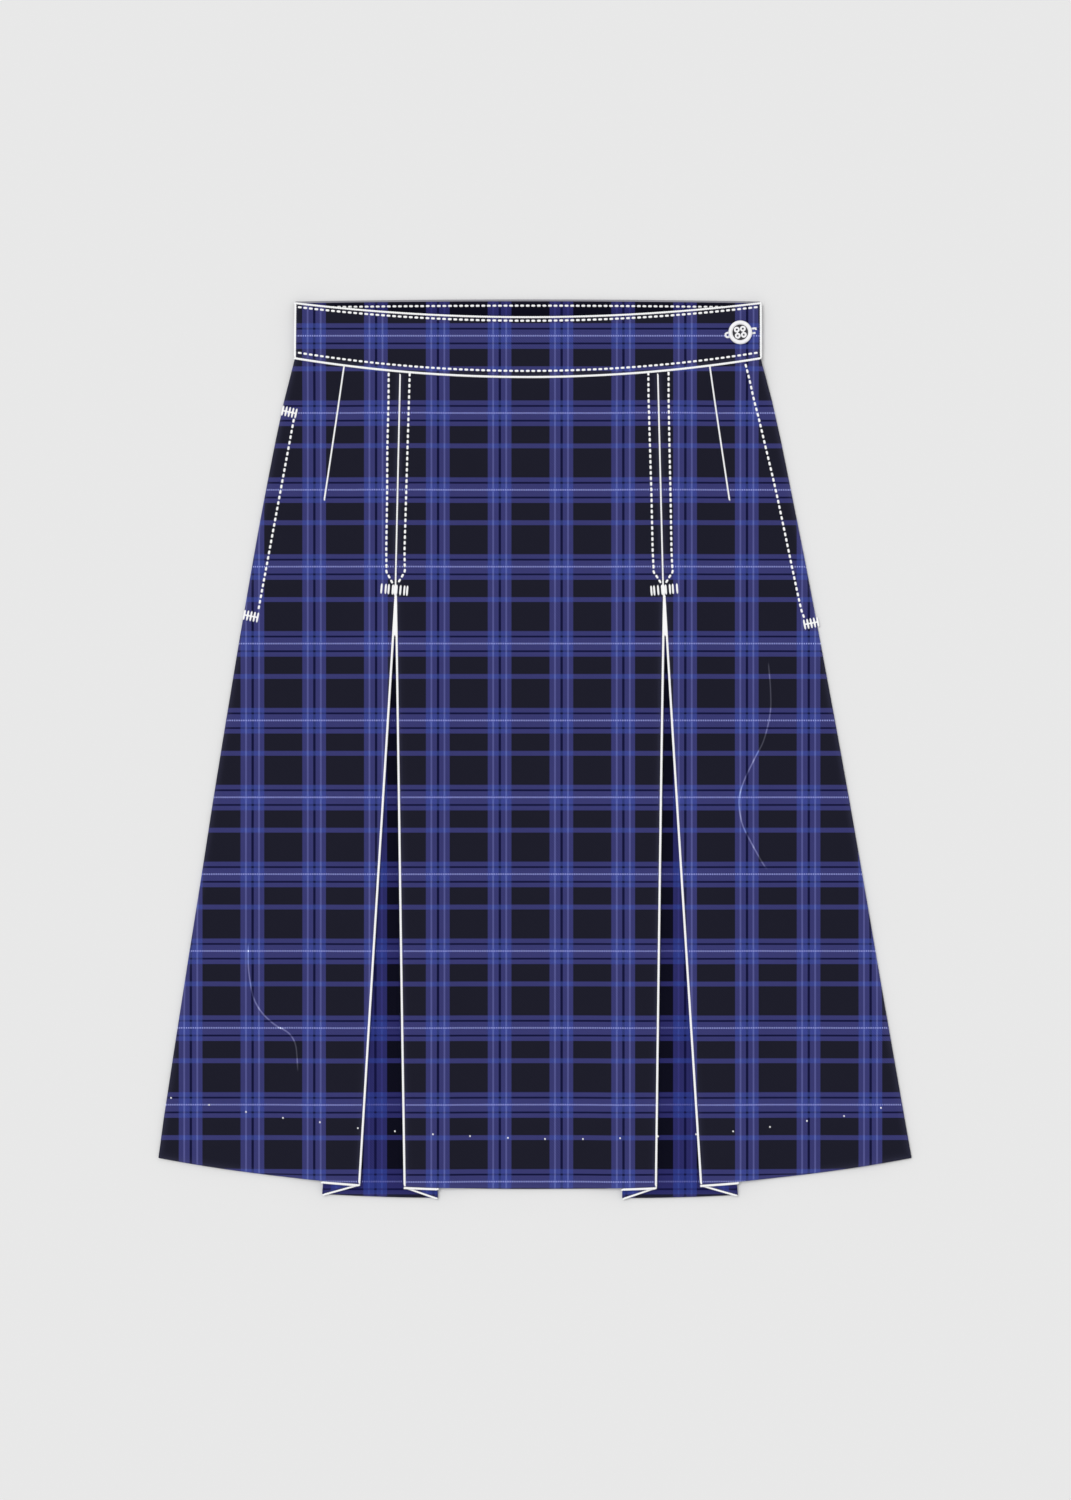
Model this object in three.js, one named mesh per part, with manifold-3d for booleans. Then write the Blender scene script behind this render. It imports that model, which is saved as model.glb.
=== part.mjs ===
// A knee-length checked skirt, laid out flat on its back.
// Millimetres. +Z is up, the waist points to +Y, the hem to -Y, and the front of the skirt faces up.
// Left and right are as seen from above, with the waist at the top.
import * as THREE from "three";
import { mergeVertices } from "three/addons/utils/BufferGeometryUtils.js";
import Module from "manifold-3d";

// Cloth, and the air between its layers and at its seams
const CLOTH = 1.0;
const GAP = 0.3;
const LAYER = CLOTH + GAP;

// A folded edge: the bend of the cloth's middle, and how far its outside reaches past the bend's centre
const BEND_RADIUS = LAYER / 2;
const FOLD_REACH = BEND_RADIUS + CLOTH / 2;

// Heights of the middle of each layer: back, pleat underlay, and the edge that is turned under
const BACK_MID = CLOTH / 2;
const UNDERLAY_MID = BACK_MID + LAYER;
const RETURN_MID = UNDERLAY_MID + LAYER;

// The front lies on the back, and rises by two layers over a pleat and at the waist seam
const FRONT_MID = BACK_MID + LAYER;
const FRONT_RISE = 2 * LAYER;
const PLEAT_RAMP = 30;
const WAIST_RAMP = 34;

// Seam and edge lines, as their height at the sides and their drop at the middle
const WAIST_Y = 289.2;
const WAIST_DROP = 13.9;
const HEM_Y = -302.9;
const HEM_DROP = 22.9;
const HEM_POWER = 2.3;
const BACK_WAIST_DROP = -1.2;
const BACK_HEM_DROP = 20.5;

// Waistband: a folded band, shaped along its lower edge, with a dipped front and a straight back
const BAND_THICK = 2.4;
const BAND_SOFT_EDGE = 1.1;
const BAND_EDGE_THICK = 1.5;
const BAND_LEFT = -177.6;
const BAND_RIGHT = 166.9;
const BAND_FRONT_TOP_Y = 330.4;
const BAND_FRONT_TOP_DROP = 10.4;
const BAND_BACK_TOP_Y = 331.1;
const BAND_BACK_TOP_DROP = -1.5;

// Side edges of the skirt at each level, from the waist to the hem
const OUTLINE = [
  { y: 289.2, left: -177.6, right: 166.9 },
  { y: 258.1, left: -185.7, right: 175.4 },
  { y: 228.5, left: -192.0, right: 182.0 },
  { y: 198.9, left: -197.8, right: 188.0 },
  { y: 169.3, left: -203.4, right: 193.9 },
  { y: 139.7, left: -208.7, right: 199.8 },
  { y: 80.5, left: -218.9, right: 211.0 },
  { y: 21.3, left: -228.7, right: 222.0 },
  { y: -37.9, left: -238.3, right: 232.7 },
  { y: -97.1, left: -247.4, right: 243.0 },
  { y: -156.3, left: -256.8, right: 253.1 },
  { y: -215.5, left: -266.0, right: 263.4 },
  { y: -274.7, left: -275.0, right: 273.8 },
  { y: -302.9, left: -278.8, right: 278.8 },
];

// The two pleats. Each is a seam from the waist to the hip, and opens below it over an underlay.
// seam: x at the waist and at its end. fold: x of the two folded edges at the hem.
// under: x of the underlay's two edges at the hem. peek: how far these corners reach below the hem.
const PLEATS = [
  {
    side: "left",
    seam: { top: -99.9, end: -103.6 },
    fold: { left: -130.2, right: -96.2 },
    under: { left: -157.6, right: -71.8 },
    peek: { left: 9.9, right: 7.6 },
  },
  {
    side: "right",
    seam: { top: 91.0, end: 95.5 },
    fold: { left: 89.5, right: 122.8 },
    under: { left: 64.4, right: 150.2 },
    peek: { left: 7.6, right: 9.9 },
  },
];
const PLEAT_OPENS_Y = 113;
const PLEAT_DEPTH_AT_WAIST = 10;

// Soft folds in the front: the points each one runs through, its height and its half-width
const FOLDS = [
  { height: 1.3, width: 13, path: [[174, 64], [174, 6], [152, -42], [171, -90], [186, -150]] },
  { height: 1.2, width: 13, path: [[-208, -60], [-212, -147], [-202, -197], [-180, -215], [-175, -265]] },
  { height: 0.9, width: 17, path: [[-150, 180], [-162, 60], [-176, -70]] },
  { height: 0.8, width: 20, path: [[-32, 90], [-38, -80], [-42, -300]] },
  { height: 0.9, width: 18, path: [[40, -40], [43, -190], [47, -310]] },
  { height: 0.9, width: 18, path: [[222, -110], [238, -220], [246, -310]] },
];

// Button: a dished disc with a raised rim and four holes, sewn on near the right end of the band
const BUTTON_X = 151.7;
const BUTTON_Y = 307.7;
const BUTTON_RADIUS = 8.8;
const BUTTON_THICK = 3.0;
const BUTTON_RIM = 3.0;
const BUTTON_DISH = 0.9;
const BUTTON_HOLE_RADIUS = 0.9;
const BUTTON_HOLE_OUT = 3.0;
const BUTTON_TURN = 11;
const BUTTON_SIDES = 40;

// How finely each piece is divided
const ROWS_ABOVE_PLEAT = 8;
const ROWS_BELOW_PLEAT = 15;
const CENTRE_COLUMNS = 24;
const SIDE_COLUMNS = 16;
const RETURN_COLUMNS = 3;
const FOLD_STEPS = 6;
const UNDERLAY_COLUMNS = 4;
const BACK_COLUMNS = 16;
const BAND_COLUMNS = 28;

const CLOTH_COLOUR = 0x2b2b52;
const UNDERLAY_COLOUR = 0x1c1c40;
const BAND_COLOUR = 0x303060;
const BUTTON_COLOUR = 0xf2f2f2;

const lerp = THREE.MathUtils.lerp;
const smooth = (value) => THREE.MathUtils.smoothstep(value, 0, 1);

// Level of a row before its dip: 0 is the waist seam and 1 the hem, both at the sides of the skirt
const levelY = (row) => lerp(WAIST_Y, HEM_Y, row);
const rowOfLevel = (y) => (WAIST_Y - y) / (WAIST_Y - HEM_Y);
const PLEAT_OPENS_ROW = rowOfLevel(PLEAT_OPENS_Y + WAIST_DROP);

// Side edges of the skirt at a row
function sidesAt(row) {
  const y = levelY(row);
  const last = OUTLINE.length - 1;
  const found = OUTLINE.findIndex((entry) => entry.y <= y);
  const next = found < 1 ? (found === 0 ? 1 : last) : found;
  const above = OUTLINE[next - 1];
  const below = OUTLINE[next];
  const part = THREE.MathUtils.clamp((above.y - y) / (above.y - below.y), 0, 1);
  return { left: lerp(above.left, below.left, part), right: lerp(above.right, below.right, part) };
}

// How far a point lies from the middle of the skirt: 0 in the middle and 1 at the side edge
function acrossAt(x, row) {
  const { left, right } = sidesAt(row);
  const middle = (left + right) / 2;
  return Math.min(1, Math.abs(x - middle) / ((right - left) / 2));
}

// How far the rows of the front and of the back dip below their level, waist to hem
function frontDip(x, row) {
  const across = acrossAt(x, row);
  const waist = WAIST_DROP * (1 - across ** 2);
  const hem = HEM_DROP * (1 - across ** HEM_POWER);
  return lerp(waist, hem, row);
}

function backDip(x, row) {
  const across = acrossAt(x, row);
  return lerp(BACK_WAIST_DROP, BACK_HEM_DROP, row) * (1 - across ** 2);
}

// Distance from a point to an open line of points
function distanceToPath(x, y, path) {
  let nearest = Infinity;
  for (let i = 1; i < path.length; i++) {
    const [ax, ay] = path[i - 1];
    const [bx, by] = path[i];
    const length2 = (bx - ax) ** 2 + (by - ay) ** 2;
    const along = THREE.MathUtils.clamp(((x - ax) * (bx - ax) + (y - ay) * (by - ay)) / length2, 0, 1);
    nearest = Math.min(nearest, Math.hypot(x - lerp(ax, bx, along), y - lerp(ay, by, along)));
  }
  return nearest;
}

// Height that the soft folds add to the front
function foldHeight(x, y) {
  return FOLDS.reduce((sum, { height, width, path }) => {
    const away = distanceToPath(x, y, path) / width;
    return sum + height * Math.exp(-away * away);
  }, 0);
}

// The folded edges and the underlay's edges of one pleat at a row
function pleatAt(pleat, row) {
  const shut = Math.min(1, row / PLEAT_OPENS_ROW);
  const open = Math.max(0, (row - PLEAT_OPENS_ROW) / (1 - PLEAT_OPENS_ROW));
  const seam = lerp(pleat.seam.top, pleat.seam.end, shut);
  const leftFold = lerp(seam - GAP / 2, pleat.fold.left, open);
  const rightFold = lerp(seam + GAP / 2, pleat.fold.right, open);
  const depthLeft = lerp(PLEAT_DEPTH_AT_WAIST, pleat.fold.left - pleat.under.left, row);
  const depthRight = lerp(PLEAT_DEPTH_AT_WAIST, pleat.under.right - pleat.fold.right, row);
  return { leftFold, rightFold, underLeft: leftFold - depthLeft, underRight: rightFold + depthRight };
}

// 1 at the waist seam, and 0 once the front is clear of the waistband's thickness
const nearWaist = (row) => smooth(1 - (row * (WAIST_Y - HEM_Y)) / WAIST_RAMP);

// Height of the soft folds, which die out at the waist seam
const relief = (x, y, row) => foldHeight(x, y) * (1 - nearWaist(row));

// Height of the middle of the front's cloth: it lies low on the back and is lifted by what is below it
function frontMid(x, y, row) {
  const overPleat = Math.max(
    ...PLEATS.map((pleat) => {
      const { underLeft, underRight } = pleatAt(pleat, row);
      const outside = Math.max(underLeft - x, x - underRight, 0);
      return smooth(1 - outside / PLEAT_RAMP);
    }),
  );
  const lift = 1 - (1 - overPleat) * (1 - nearWaist(row));
  return FRONT_MID + FRONT_RISE * lift + relief(x, y, row);
}

// Rows of the front from the waist to the hem, with one where the pleats open
function frontRows() {
  const rows = [];
  for (let i = 0; i < ROWS_ABOVE_PLEAT; i++) rows.push((PLEAT_OPENS_ROW * i) / ROWS_ABOVE_PLEAT);
  for (let i = 0; i <= ROWS_BELOW_PLEAT; i++) rows.push(lerp(PLEAT_OPENS_ROW, 1, i / ROWS_BELOW_PLEAT));
  return rows;
}

// A point in the middle of the front's cloth. The seam gap under the waistband is taken off at the top.
function frontPoint(x, row) {
  const y = levelY(row) - frontDip(x, row) - GAP * (1 - row);
  return new THREE.Vector3(x, y, frontMid(x, y, row));
}

// The edge that is turned under at a pleat, from its folded edge to its inner edge.
// toward is -1 where it runs to the left and +1 where it runs to the right.
function turnedUnder(foldX, innerX, peek, row, toward) {
  const bendX = foldX + toward * FOLD_REACH;
  const bendTop = frontPoint(bendX, row);
  const points = [];
  for (let i = 1; i < FOLD_STEPS; i++) {
    const angle = (Math.PI * i) / FOLD_STEPS;
    const x = bendX - toward * BEND_RADIUS * Math.sin(angle);
    const z = bendTop.z - BEND_RADIUS * (1 - Math.cos(angle));
    points.push(new THREE.Vector3(x, bendTop.y, z));
  }
  for (let i = 0; i <= RETURN_COLUMNS; i++) {
    const part = i / RETURN_COLUMNS;
    const x = lerp(bendX, innerX, part);
    const y = frontPoint(x, row).y - peek * row * part;
    points.push(new THREE.Vector3(x, y, RETURN_MID + relief(x, y, row)));
  }
  return points;
}

// Points evenly spread over the front between two places on a row
function frontSpread(fromX, toX, columns, row) {
  return Array.from({ length: columns + 1 }, (_, i) => frontPoint(lerp(fromX, toX, i / columns), row));
}

// Direction of the cloth's outer face at each point of a section, square to the section
function sectionNormals(points) {
  return points.map((_, i) => {
    const before = points[Math.max(0, i - 1)];
    const after = points[Math.min(points.length - 1, i + 1)];
    const slope = new THREE.Vector2(after.x - before.x, after.z - before.z).normalize();
    return new THREE.Vector3(-slope.y, 0, slope.x);
  });
}

// Two faces of a cloth wall, half a thickness to each side of the middle points
function thicken(sections, thickness) {
  const shift = (side) =>
    sections.map((points) => {
      const normals = sectionNormals(points);
      return points.map((p, i) => p.clone().addScaledVector(normals[i], (side * thickness) / 2));
    });
  return { outer: shift(1), inner: shift(-1) };
}

// A closed body between two grids of points, each a list of rows. Rows run to -Y and columns to +X.
function wallBetween(outer, inner) {
  const columns = outer[0].length;
  const rings = outer.map((row, r) => [...row, ...inner[r].slice().reverse()]);
  const ringSize = 2 * columns;
  const positions = rings.flat().flatMap((p) => [p.x, p.y, p.z]);
  const index = [];
  for (let r = 0; r + 1 < rings.length; r++) {
    for (let j = 0; j < ringSize; j++) {
      const a = r * ringSize + j;
      const b = r * ringSize + ((j + 1) % ringSize);
      const c = a + ringSize;
      const d = b + ringSize;
      index.push(a, c, b, b, c, d);
    }
  }
  const start = (rings.length - 1) * ringSize;
  for (let c = 0; c + 1 < columns; c++) {
    const top = [c, c + 1, ringSize - 2 - c, ringSize - 1 - c];
    const end = top.map((i) => start + i);
    index.push(top[0], top[1], top[2], top[0], top[2], top[3]);
    index.push(end[0], end[2], end[1], end[0], end[3], end[2]);
  }
  const geometry = new THREE.BufferGeometry();
  geometry.setAttribute("position", new THREE.Float32BufferAttribute(positions, 3));
  geometry.setIndex(index);
  return geometry;
}

function clothWall(sections) {
  const { outer, inner } = thicken(sections, CLOTH);
  return wallBetween(outer, inner);
}

// Centre front, turned under at both of its edges
function frontCentre() {
  const [leftPleat, rightPleat] = PLEATS;
  const sections = frontRows().map((row) => {
    const left = pleatAt(leftPleat, row);
    const right = pleatAt(rightPleat, row);
    const leftTurn = turnedUnder(left.rightFold, left.underRight, leftPleat.peek.right, row, 1);
    const rightTurn = turnedUnder(right.leftFold, right.underLeft, rightPleat.peek.left, row, -1);
    const from = left.rightFold + FOLD_REACH;
    const to = right.leftFold - FOLD_REACH;
    const top = frontSpread(from, to, CENTRE_COLUMNS, row);
    return [...leftTurn.reverse(), ...top, ...rightTurn];
  });
  return clothWall(sections);
}

// Side front, from the side seam to its folded edge at the pleat
function frontLeft() {
  const [pleat] = PLEATS;
  const sections = frontRows().map((row) => {
    const { leftFold, underLeft } = pleatAt(pleat, row);
    const top = frontSpread(sidesAt(row).left, leftFold - FOLD_REACH, SIDE_COLUMNS, row);
    return [...top, ...turnedUnder(leftFold, underLeft, pleat.peek.left, row, -1)];
  });
  return clothWall(sections);
}

function frontRight() {
  const [, pleat] = PLEATS;
  const sections = frontRows().map((row) => {
    const { rightFold, underRight } = pleatAt(pleat, row);
    const top = frontSpread(rightFold + FOLD_REACH, sidesAt(row).right, SIDE_COLUMNS, row);
    return [...turnedUnder(rightFold, underRight, pleat.peek.right, row, 1).reverse(), ...top];
  });
  return clothWall(sections);
}

// Underlay of a pleat, flat on the back, a little longer than the front
function pleatUnderlay(pleat) {
  const sections = frontRows().map((row) => {
    const { underLeft, underRight } = pleatAt(pleat, row);
    return Array.from({ length: UNDERLAY_COLUMNS + 1 }, (_, i) => {
      const part = i / UNDERLAY_COLUMNS;
      const x = lerp(underLeft, underRight, part);
      const y = frontPoint(x, row).y - lerp(pleat.peek.left, pleat.peek.right, part) * row;
      return new THREE.Vector3(x, y, UNDERLAY_MID);
    });
  });
  return clothWall(sections);
}

// Back, one flat layer on the surface
function backPanel() {
  const sections = OUTLINE.map(({ y: level }) => {
    const row = rowOfLevel(level);
    const { left, right } = sidesAt(row);
    return Array.from({ length: BACK_COLUMNS + 1 }, (_, i) => {
      const x = lerp(left, right, i / BACK_COLUMNS);
      return new THREE.Vector3(x, level - backDip(x, row) - GAP * (1 - row), BACK_MID);
    });
  });
  return clothWall(sections);
}

// Half of the waistband: a thick strip with softened long edges, between its upper and lower line
function waistband(topY, topDrop, bottomDrop, floorZ) {
  const middle = (BAND_LEFT + BAND_RIGHT) / 2;
  const half = (BAND_RIGHT - BAND_LEFT) / 2;
  const midZ = floorZ + BAND_THICK / 2;
  const lines = [
    { from: 0, inset: 0, thick: BAND_EDGE_THICK },
    { from: 0, inset: BAND_SOFT_EDGE, thick: BAND_THICK },
    { from: 1, inset: -BAND_SOFT_EDGE, thick: BAND_THICK },
    { from: 1, inset: 0, thick: BAND_EDGE_THICK },
  ];
  const face = (side) =>
    lines.map(({ from, inset, thick }) =>
      Array.from({ length: BAND_COLUMNS + 1 }, (_, i) => {
        const x = lerp(BAND_LEFT, BAND_RIGHT, i / BAND_COLUMNS);
        const curve = 1 - ((x - middle) / half) ** 2;
        const top = topY - topDrop * curve;
        const bottom = WAIST_Y - bottomDrop * curve;
        return new THREE.Vector3(x, lerp(top, bottom, from) - inset, midZ + (side * thick) / 2);
      }),
    );
  return wallBetween(face(1), face(-1));
}

// Button: turned disc with four holes cut through it
function button(wasm) {
  const rimTop = BUTTON_THICK;
  const dishTop = BUTTON_THICK - BUTTON_DISH;
  const profile = [
    [0, 0],
    [BUTTON_RADIUS - 1.6, 0],
    [BUTTON_RADIUS - 0.4, 0.7],
    [BUTTON_RADIUS, 1.5],
    [BUTTON_RADIUS - 0.3, rimTop - 0.6],
    [BUTTON_RADIUS - 1.1, rimTop],
    [BUTTON_RADIUS - BUTTON_RIM + 0.7, rimTop],
    [BUTTON_RADIUS - BUTTON_RIM, dishTop],
    [0, dishTop],
  ].map(([radius, z]) => new THREE.Vector2(radius, z));
  const disc = solidOf(wasm, new THREE.LatheGeometry(profile, BUTTON_SIDES).rotateX(Math.PI / 2));
  let holed = disc;
  for (let i = 0; i < 4; i++) {
    const angle = THREE.MathUtils.degToRad(90 * i + 45 + BUTTON_TURN);
    const hole = new THREE.CylinderGeometry(BUTTON_HOLE_RADIUS, BUTTON_HOLE_RADIUS, 3 * BUTTON_THICK, 12);
    hole.rotateX(Math.PI / 2);
    hole.translate(BUTTON_HOLE_OUT * Math.cos(angle), BUTTON_HOLE_OUT * Math.sin(angle), 0);
    holed = holed.subtract(solidOf(wasm, hole));
  }
  return geometryOf(holed);
}

// A closed geometry as a solid that can be cut, and back again
function solidOf(wasm, geometry) {
  const bare = new THREE.BufferGeometry();
  bare.setAttribute("position", geometry.getAttribute("position"));
  bare.setIndex(geometry.getIndex());
  const merged = mergeVertices(bare, 1e-4);
  return new wasm.Manifold(
    new wasm.Mesh({
      numProp: 3,
      vertProperties: merged.attributes.position.array,
      triVerts: new Uint32Array(merged.index.array),
    }),
  );
}

function geometryOf(solid) {
  const mesh = solid.getMesh();
  const geometry = new THREE.BufferGeometry();
  geometry.setAttribute("position", new THREE.Float32BufferAttribute(mesh.vertProperties, 3));
  geometry.setIndex(new THREE.BufferAttribute(mesh.triVerts, 1));
  return geometry;
}

function named(name, geometry, color, roughness) {
  geometry.computeVertexNormals();
  const mesh = new THREE.Mesh(geometry, new THREE.MeshStandardMaterial({ color, roughness, metalness: 0 }));
  mesh.name = name;
  return mesh;
}

const wasm = await Module();
wasm.setup();

const skirt = new THREE.Group();
skirt.add(named("back_panel", backPanel(), CLOTH_COLOUR, 0.9));
skirt.add(named("front_centre", frontCentre(), CLOTH_COLOUR, 0.9));
skirt.add(named("front_left", frontLeft(), CLOTH_COLOUR, 0.9));
skirt.add(named("front_right", frontRight(), CLOTH_COLOUR, 0.9));
for (const pleat of PLEATS) {
  skirt.add(named("pleat_underlay_" + pleat.side, pleatUnderlay(pleat), UNDERLAY_COLOUR, 0.9));
}

const waist = new THREE.Group();
const backBand = waistband(BAND_BACK_TOP_Y, BAND_BACK_TOP_DROP, BACK_WAIST_DROP, 0);
const frontBand = waistband(BAND_FRONT_TOP_Y, BAND_FRONT_TOP_DROP, WAIST_DROP, 0);
waist.add(named("back_waistband", backBand, BAND_COLOUR, 0.85));
const frontWaistband = named("front_waistband", frontBand, BAND_COLOUR, 0.85);
frontWaistband.position.z = BAND_THICK + GAP;
waist.add(frontWaistband);
const sewnButton = named("button", button(wasm), BUTTON_COLOUR, 0.35);
sewnButton.position.set(BUTTON_X, BUTTON_Y, frontWaistband.position.z + BAND_THICK + GAP);
waist.add(sewnButton);
skirt.add(waist);

export default skirt;
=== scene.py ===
"""Dresses a knee-length checked skirt with two pleats, laid out flat on its back.

Sizes are in millimetres until a mesh is written, which is in metres. +Z is up, the waist points to +Y
and the front of the skirt faces up. Left and right are as seen from above, with the waist at the top.
"""
import logging
import math
from collections.abc import Callable
from dataclasses import dataclass, field
from enum import Enum
from typing import ClassVar

import bpy
import numpy as np
from numpy.typing import NDArray
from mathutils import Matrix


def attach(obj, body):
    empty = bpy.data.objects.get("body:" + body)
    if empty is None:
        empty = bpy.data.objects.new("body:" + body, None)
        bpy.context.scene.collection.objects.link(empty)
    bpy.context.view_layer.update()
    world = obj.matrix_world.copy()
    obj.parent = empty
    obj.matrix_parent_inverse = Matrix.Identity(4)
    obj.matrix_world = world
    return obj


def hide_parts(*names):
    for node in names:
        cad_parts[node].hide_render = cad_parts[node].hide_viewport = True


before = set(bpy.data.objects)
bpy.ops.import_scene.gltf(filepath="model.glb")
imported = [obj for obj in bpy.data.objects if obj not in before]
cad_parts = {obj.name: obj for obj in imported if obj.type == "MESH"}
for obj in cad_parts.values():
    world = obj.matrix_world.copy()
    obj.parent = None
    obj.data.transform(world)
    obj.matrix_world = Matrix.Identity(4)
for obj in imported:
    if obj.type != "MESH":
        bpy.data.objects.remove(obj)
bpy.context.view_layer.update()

Array = NDArray[np.float64]
Indices = NDArray[np.int64]
Surface = Callable[[Array, Array], Array]
Line = tuple[tuple[float, float], ...]
Span = tuple[Array, Array]
Stripe = tuple[float, float, float, float]
Stop = tuple[float, tuple[float, ...]]
Colour = tuple[int, int, int]

MM = 0.001
log = logging.getLogger("skirt")


# Plain arithmetic on whole arrays

def smooth(value: Array | float) -> Array:
    """Ease a value from 0 to 1 with flat ends, as three times its square less twice its cube."""
    held = np.clip(value, 0.0, 1.0)
    return held * held * (3.0 - 2.0 * held)


def bell(away: Array | float, width: float) -> Array:
    """Give a soft bump, e to the minus square of the distance over the width."""
    return np.exp(-((np.asarray(away) / width) ** 2))


def lerp(start: Array | float, end: Array | float, part: Array | float) -> Array:
    """Mix two values in a straight line."""
    return start + (end - start) * part


def unit(vectors: Array) -> Array:
    """Bring vectors in the last axis to a length of one."""
    return vectors / np.maximum(np.linalg.norm(vectors, axis=-1, keepdims=True), 1e-9)


def along_line(x: Array, y: Array, line: Array) -> tuple[Array, Array, float]:
    """Measure points against an open line by the nearest foot on its straight parts.

    Args:
        x: Place across the skirt.
        y: Place along the skirt.
        line: Points of the line, one row each.

    Returns:
        Distance to the line, positive on its left, the length from its start to the foot, and its whole
        length.
    """
    best = np.full(np.shape(x), np.inf)
    side = np.zeros(np.shape(x))
    run = np.zeros(np.shape(x))
    start = 0.0
    for (ax, ay), (bx, by) in zip(line[:-1], line[1:]):
        dx, dy = bx - ax, by - ay
        length = math.hypot(dx, dy)
        part = np.clip(((x - ax) * dx + (y - ay) * dy) / length**2, 0.0, 1.0)
        away = np.hypot(x - ax - part * dx, y - ay - part * dy)
        nearer = away < best
        best = np.where(nearer, away, best)
        side = np.where(nearer, np.where(dx * (y - ay) > dy * (x - ax), away, -away), side)
        run = np.where(nearer, start + part * length, run)
        start += length
    return side, run, start


def rounded_line(points: Line, parts: int = 8) -> Array:
    """Run a smooth line through points, by the cubic of four neighbours known as Catmull and Rom's.

    Args:
        points: Points that the line passes through.
        parts: Straight parts between two neighbours.

    Returns:
        Points of the smooth line, one row each.
    """
    knots = np.array(points)
    knots = np.vstack([2 * knots[0] - knots[1], knots, 2 * knots[-1] - knots[-2]])
    before, near, far, after = (knots[i : len(knots) - 3 + i, None, :] for i in range(4))
    t = np.linspace(0.0, 1.0, parts, endpoint=False)[None, :, None]
    curve = 0.5 * (
        2 * near
        + (far - before) * t
        + (2 * before - 5 * near + 4 * far - after) * t**2
        + (3 * near - before - 3 * far + after) * t**3
    )
    return np.vstack([curve.reshape(-1, 2), knots[-2]])


def spaced_along(line: Array, pitch: float, trim: float = 0.0) -> tuple[Array, Array]:
    """Set places at an even pitch along a line.

    Args:
        line: Points of the line, one row each.
        pitch: Wished distance between two places, eased so that a whole number fits.
        trim: Length left free at each end.

    Returns:
        Places, and the line's direction at each.
    """
    steps = np.linalg.norm(np.diff(line, axis=0), axis=1)
    length = np.concatenate([[0.0], np.cumsum(steps)])
    count = max(1, round((length[-1] - 2 * trim) / pitch))
    at = trim + (np.arange(count) + 0.5) * (length[-1] - 2 * trim) / count
    places = np.stack([np.interp(at, length, line[:, k]) for k in (0, 1)], axis=-1)
    reach = pitch / 2
    ahead = np.stack([np.interp(at + reach, length, line[:, k]) for k in (0, 1)], axis=-1)
    behind = np.stack([np.interp(at - reach, length, line[:, k]) for k in (0, 1)], axis=-1)
    return places, unit(ahead - behind)


# Colours and meshes

LIGHT_LEVEL = 1.09


def ink(red: float, green: float, blue: float, gloss: float = 0.0) -> tuple[float, float, float, float]:
    """Turn a colour seen on a screen into what a surface returns in this light.

    Args:
        red: Red, 0 to 255.
        green: Green, 0 to 255.
        blue: Blue, 0 to 255.
        gloss: Share of white that the finish's own gloss adds, taken off here.

    Returns:
        Linear red, green and blue, and full cover.
    """
    def linear(value: float) -> float:
        """Undo the screen's curve for one channel."""
        share = value / 255
        level = share / 12.92 if share <= 0.04045 else ((share + 0.055) / 1.055) ** 2.4
        return max(0.0, level / LIGHT_LEVEL - gloss)
    return linear(red), linear(green), linear(blue), 1.0


def dimmed(colour: tuple[float, ...], share: float) -> tuple[float, ...]:
    """Bring a colour down to a share of its light, at full cover."""
    return (*(share * level for level in colour[:3]), 1.0)


@dataclass
class Part:
    """A mesh in the making: points in millimetres, faces by number of corners, and what points carry."""

    points: Array
    faces: list[Indices]
    zones: list[Indices] = field(default_factory=list)
    maps: dict[str, Array] = field(default_factory=dict)
    measures: dict[str, Array] = field(default_factory=dict)

    def build(self, name: str, finishes: list[bpy.types.Material]) -> bpy.types.Object:
        """Write the mesh and its object at the origin.

        Args:
            name: Name of the object.
            finishes: Materials, in the order that zones count them.

        Returns:
            The new object.
        """
        mesh = bpy.data.meshes.new(name)
        corners = np.concatenate([f.ravel() for f in self.faces]).astype(np.int32)
        sizes = np.concatenate([np.full(len(f), f.shape[1]) for f in self.faces])
        starts = np.concatenate([[0], np.cumsum(sizes)[:-1]]).astype(np.int32)
        mesh.vertices.add(len(self.points))
        mesh.vertices.foreach_set("co", (self.points * MM).astype(np.float32).ravel())
        mesh.loops.add(len(corners))
        mesh.loops.foreach_set("vertex_index", corners)
        mesh.polygons.add(len(sizes))
        mesh.polygons.foreach_set("loop_start", starts)
        mesh.polygons.foreach_set("use_smooth", np.ones(len(sizes), dtype=bool))
        if self.zones:
            mesh.polygons.foreach_set("material_index", np.concatenate(self.zones).astype(np.int32))
        for key, values in self.maps.items():
            layer = mesh.uv_layers.new(name=key)
            layer.data.foreach_set("uv", values[corners].astype(np.float32).ravel())
        for key, values in self.measures.items():
            attribute = mesh.attributes.new(key, "FLOAT", "POINT")
            attribute.data.foreach_set("value", values.astype(np.float32).ravel())
        mesh.update(calc_edges=True)
        mesh.validate()
        made = bpy.data.objects.new(name, mesh)
        for finish in finishes:
            mesh.materials.append(finish)
        bpy.context.scene.collection.objects.link(made)
        return made


def joined(parts: list[Part]) -> Part:
    """Put several parts with the same maps into one.

    Args:
        parts: Parts to join.

    Returns:
        One part with all their points and faces.
    """
    starts = np.cumsum([0] + [len(part.points) for part in parts])
    faces = [f + start for part, start in zip(parts, starts) for f in part.faces]
    zones = [z for part in parts for z in part.zones]
    maps = {key: np.concatenate([part.maps[key] for part in parts]) for key in parts[0].maps}
    return Part(np.concatenate([part.points for part in parts]), faces, zones, maps)


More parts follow.
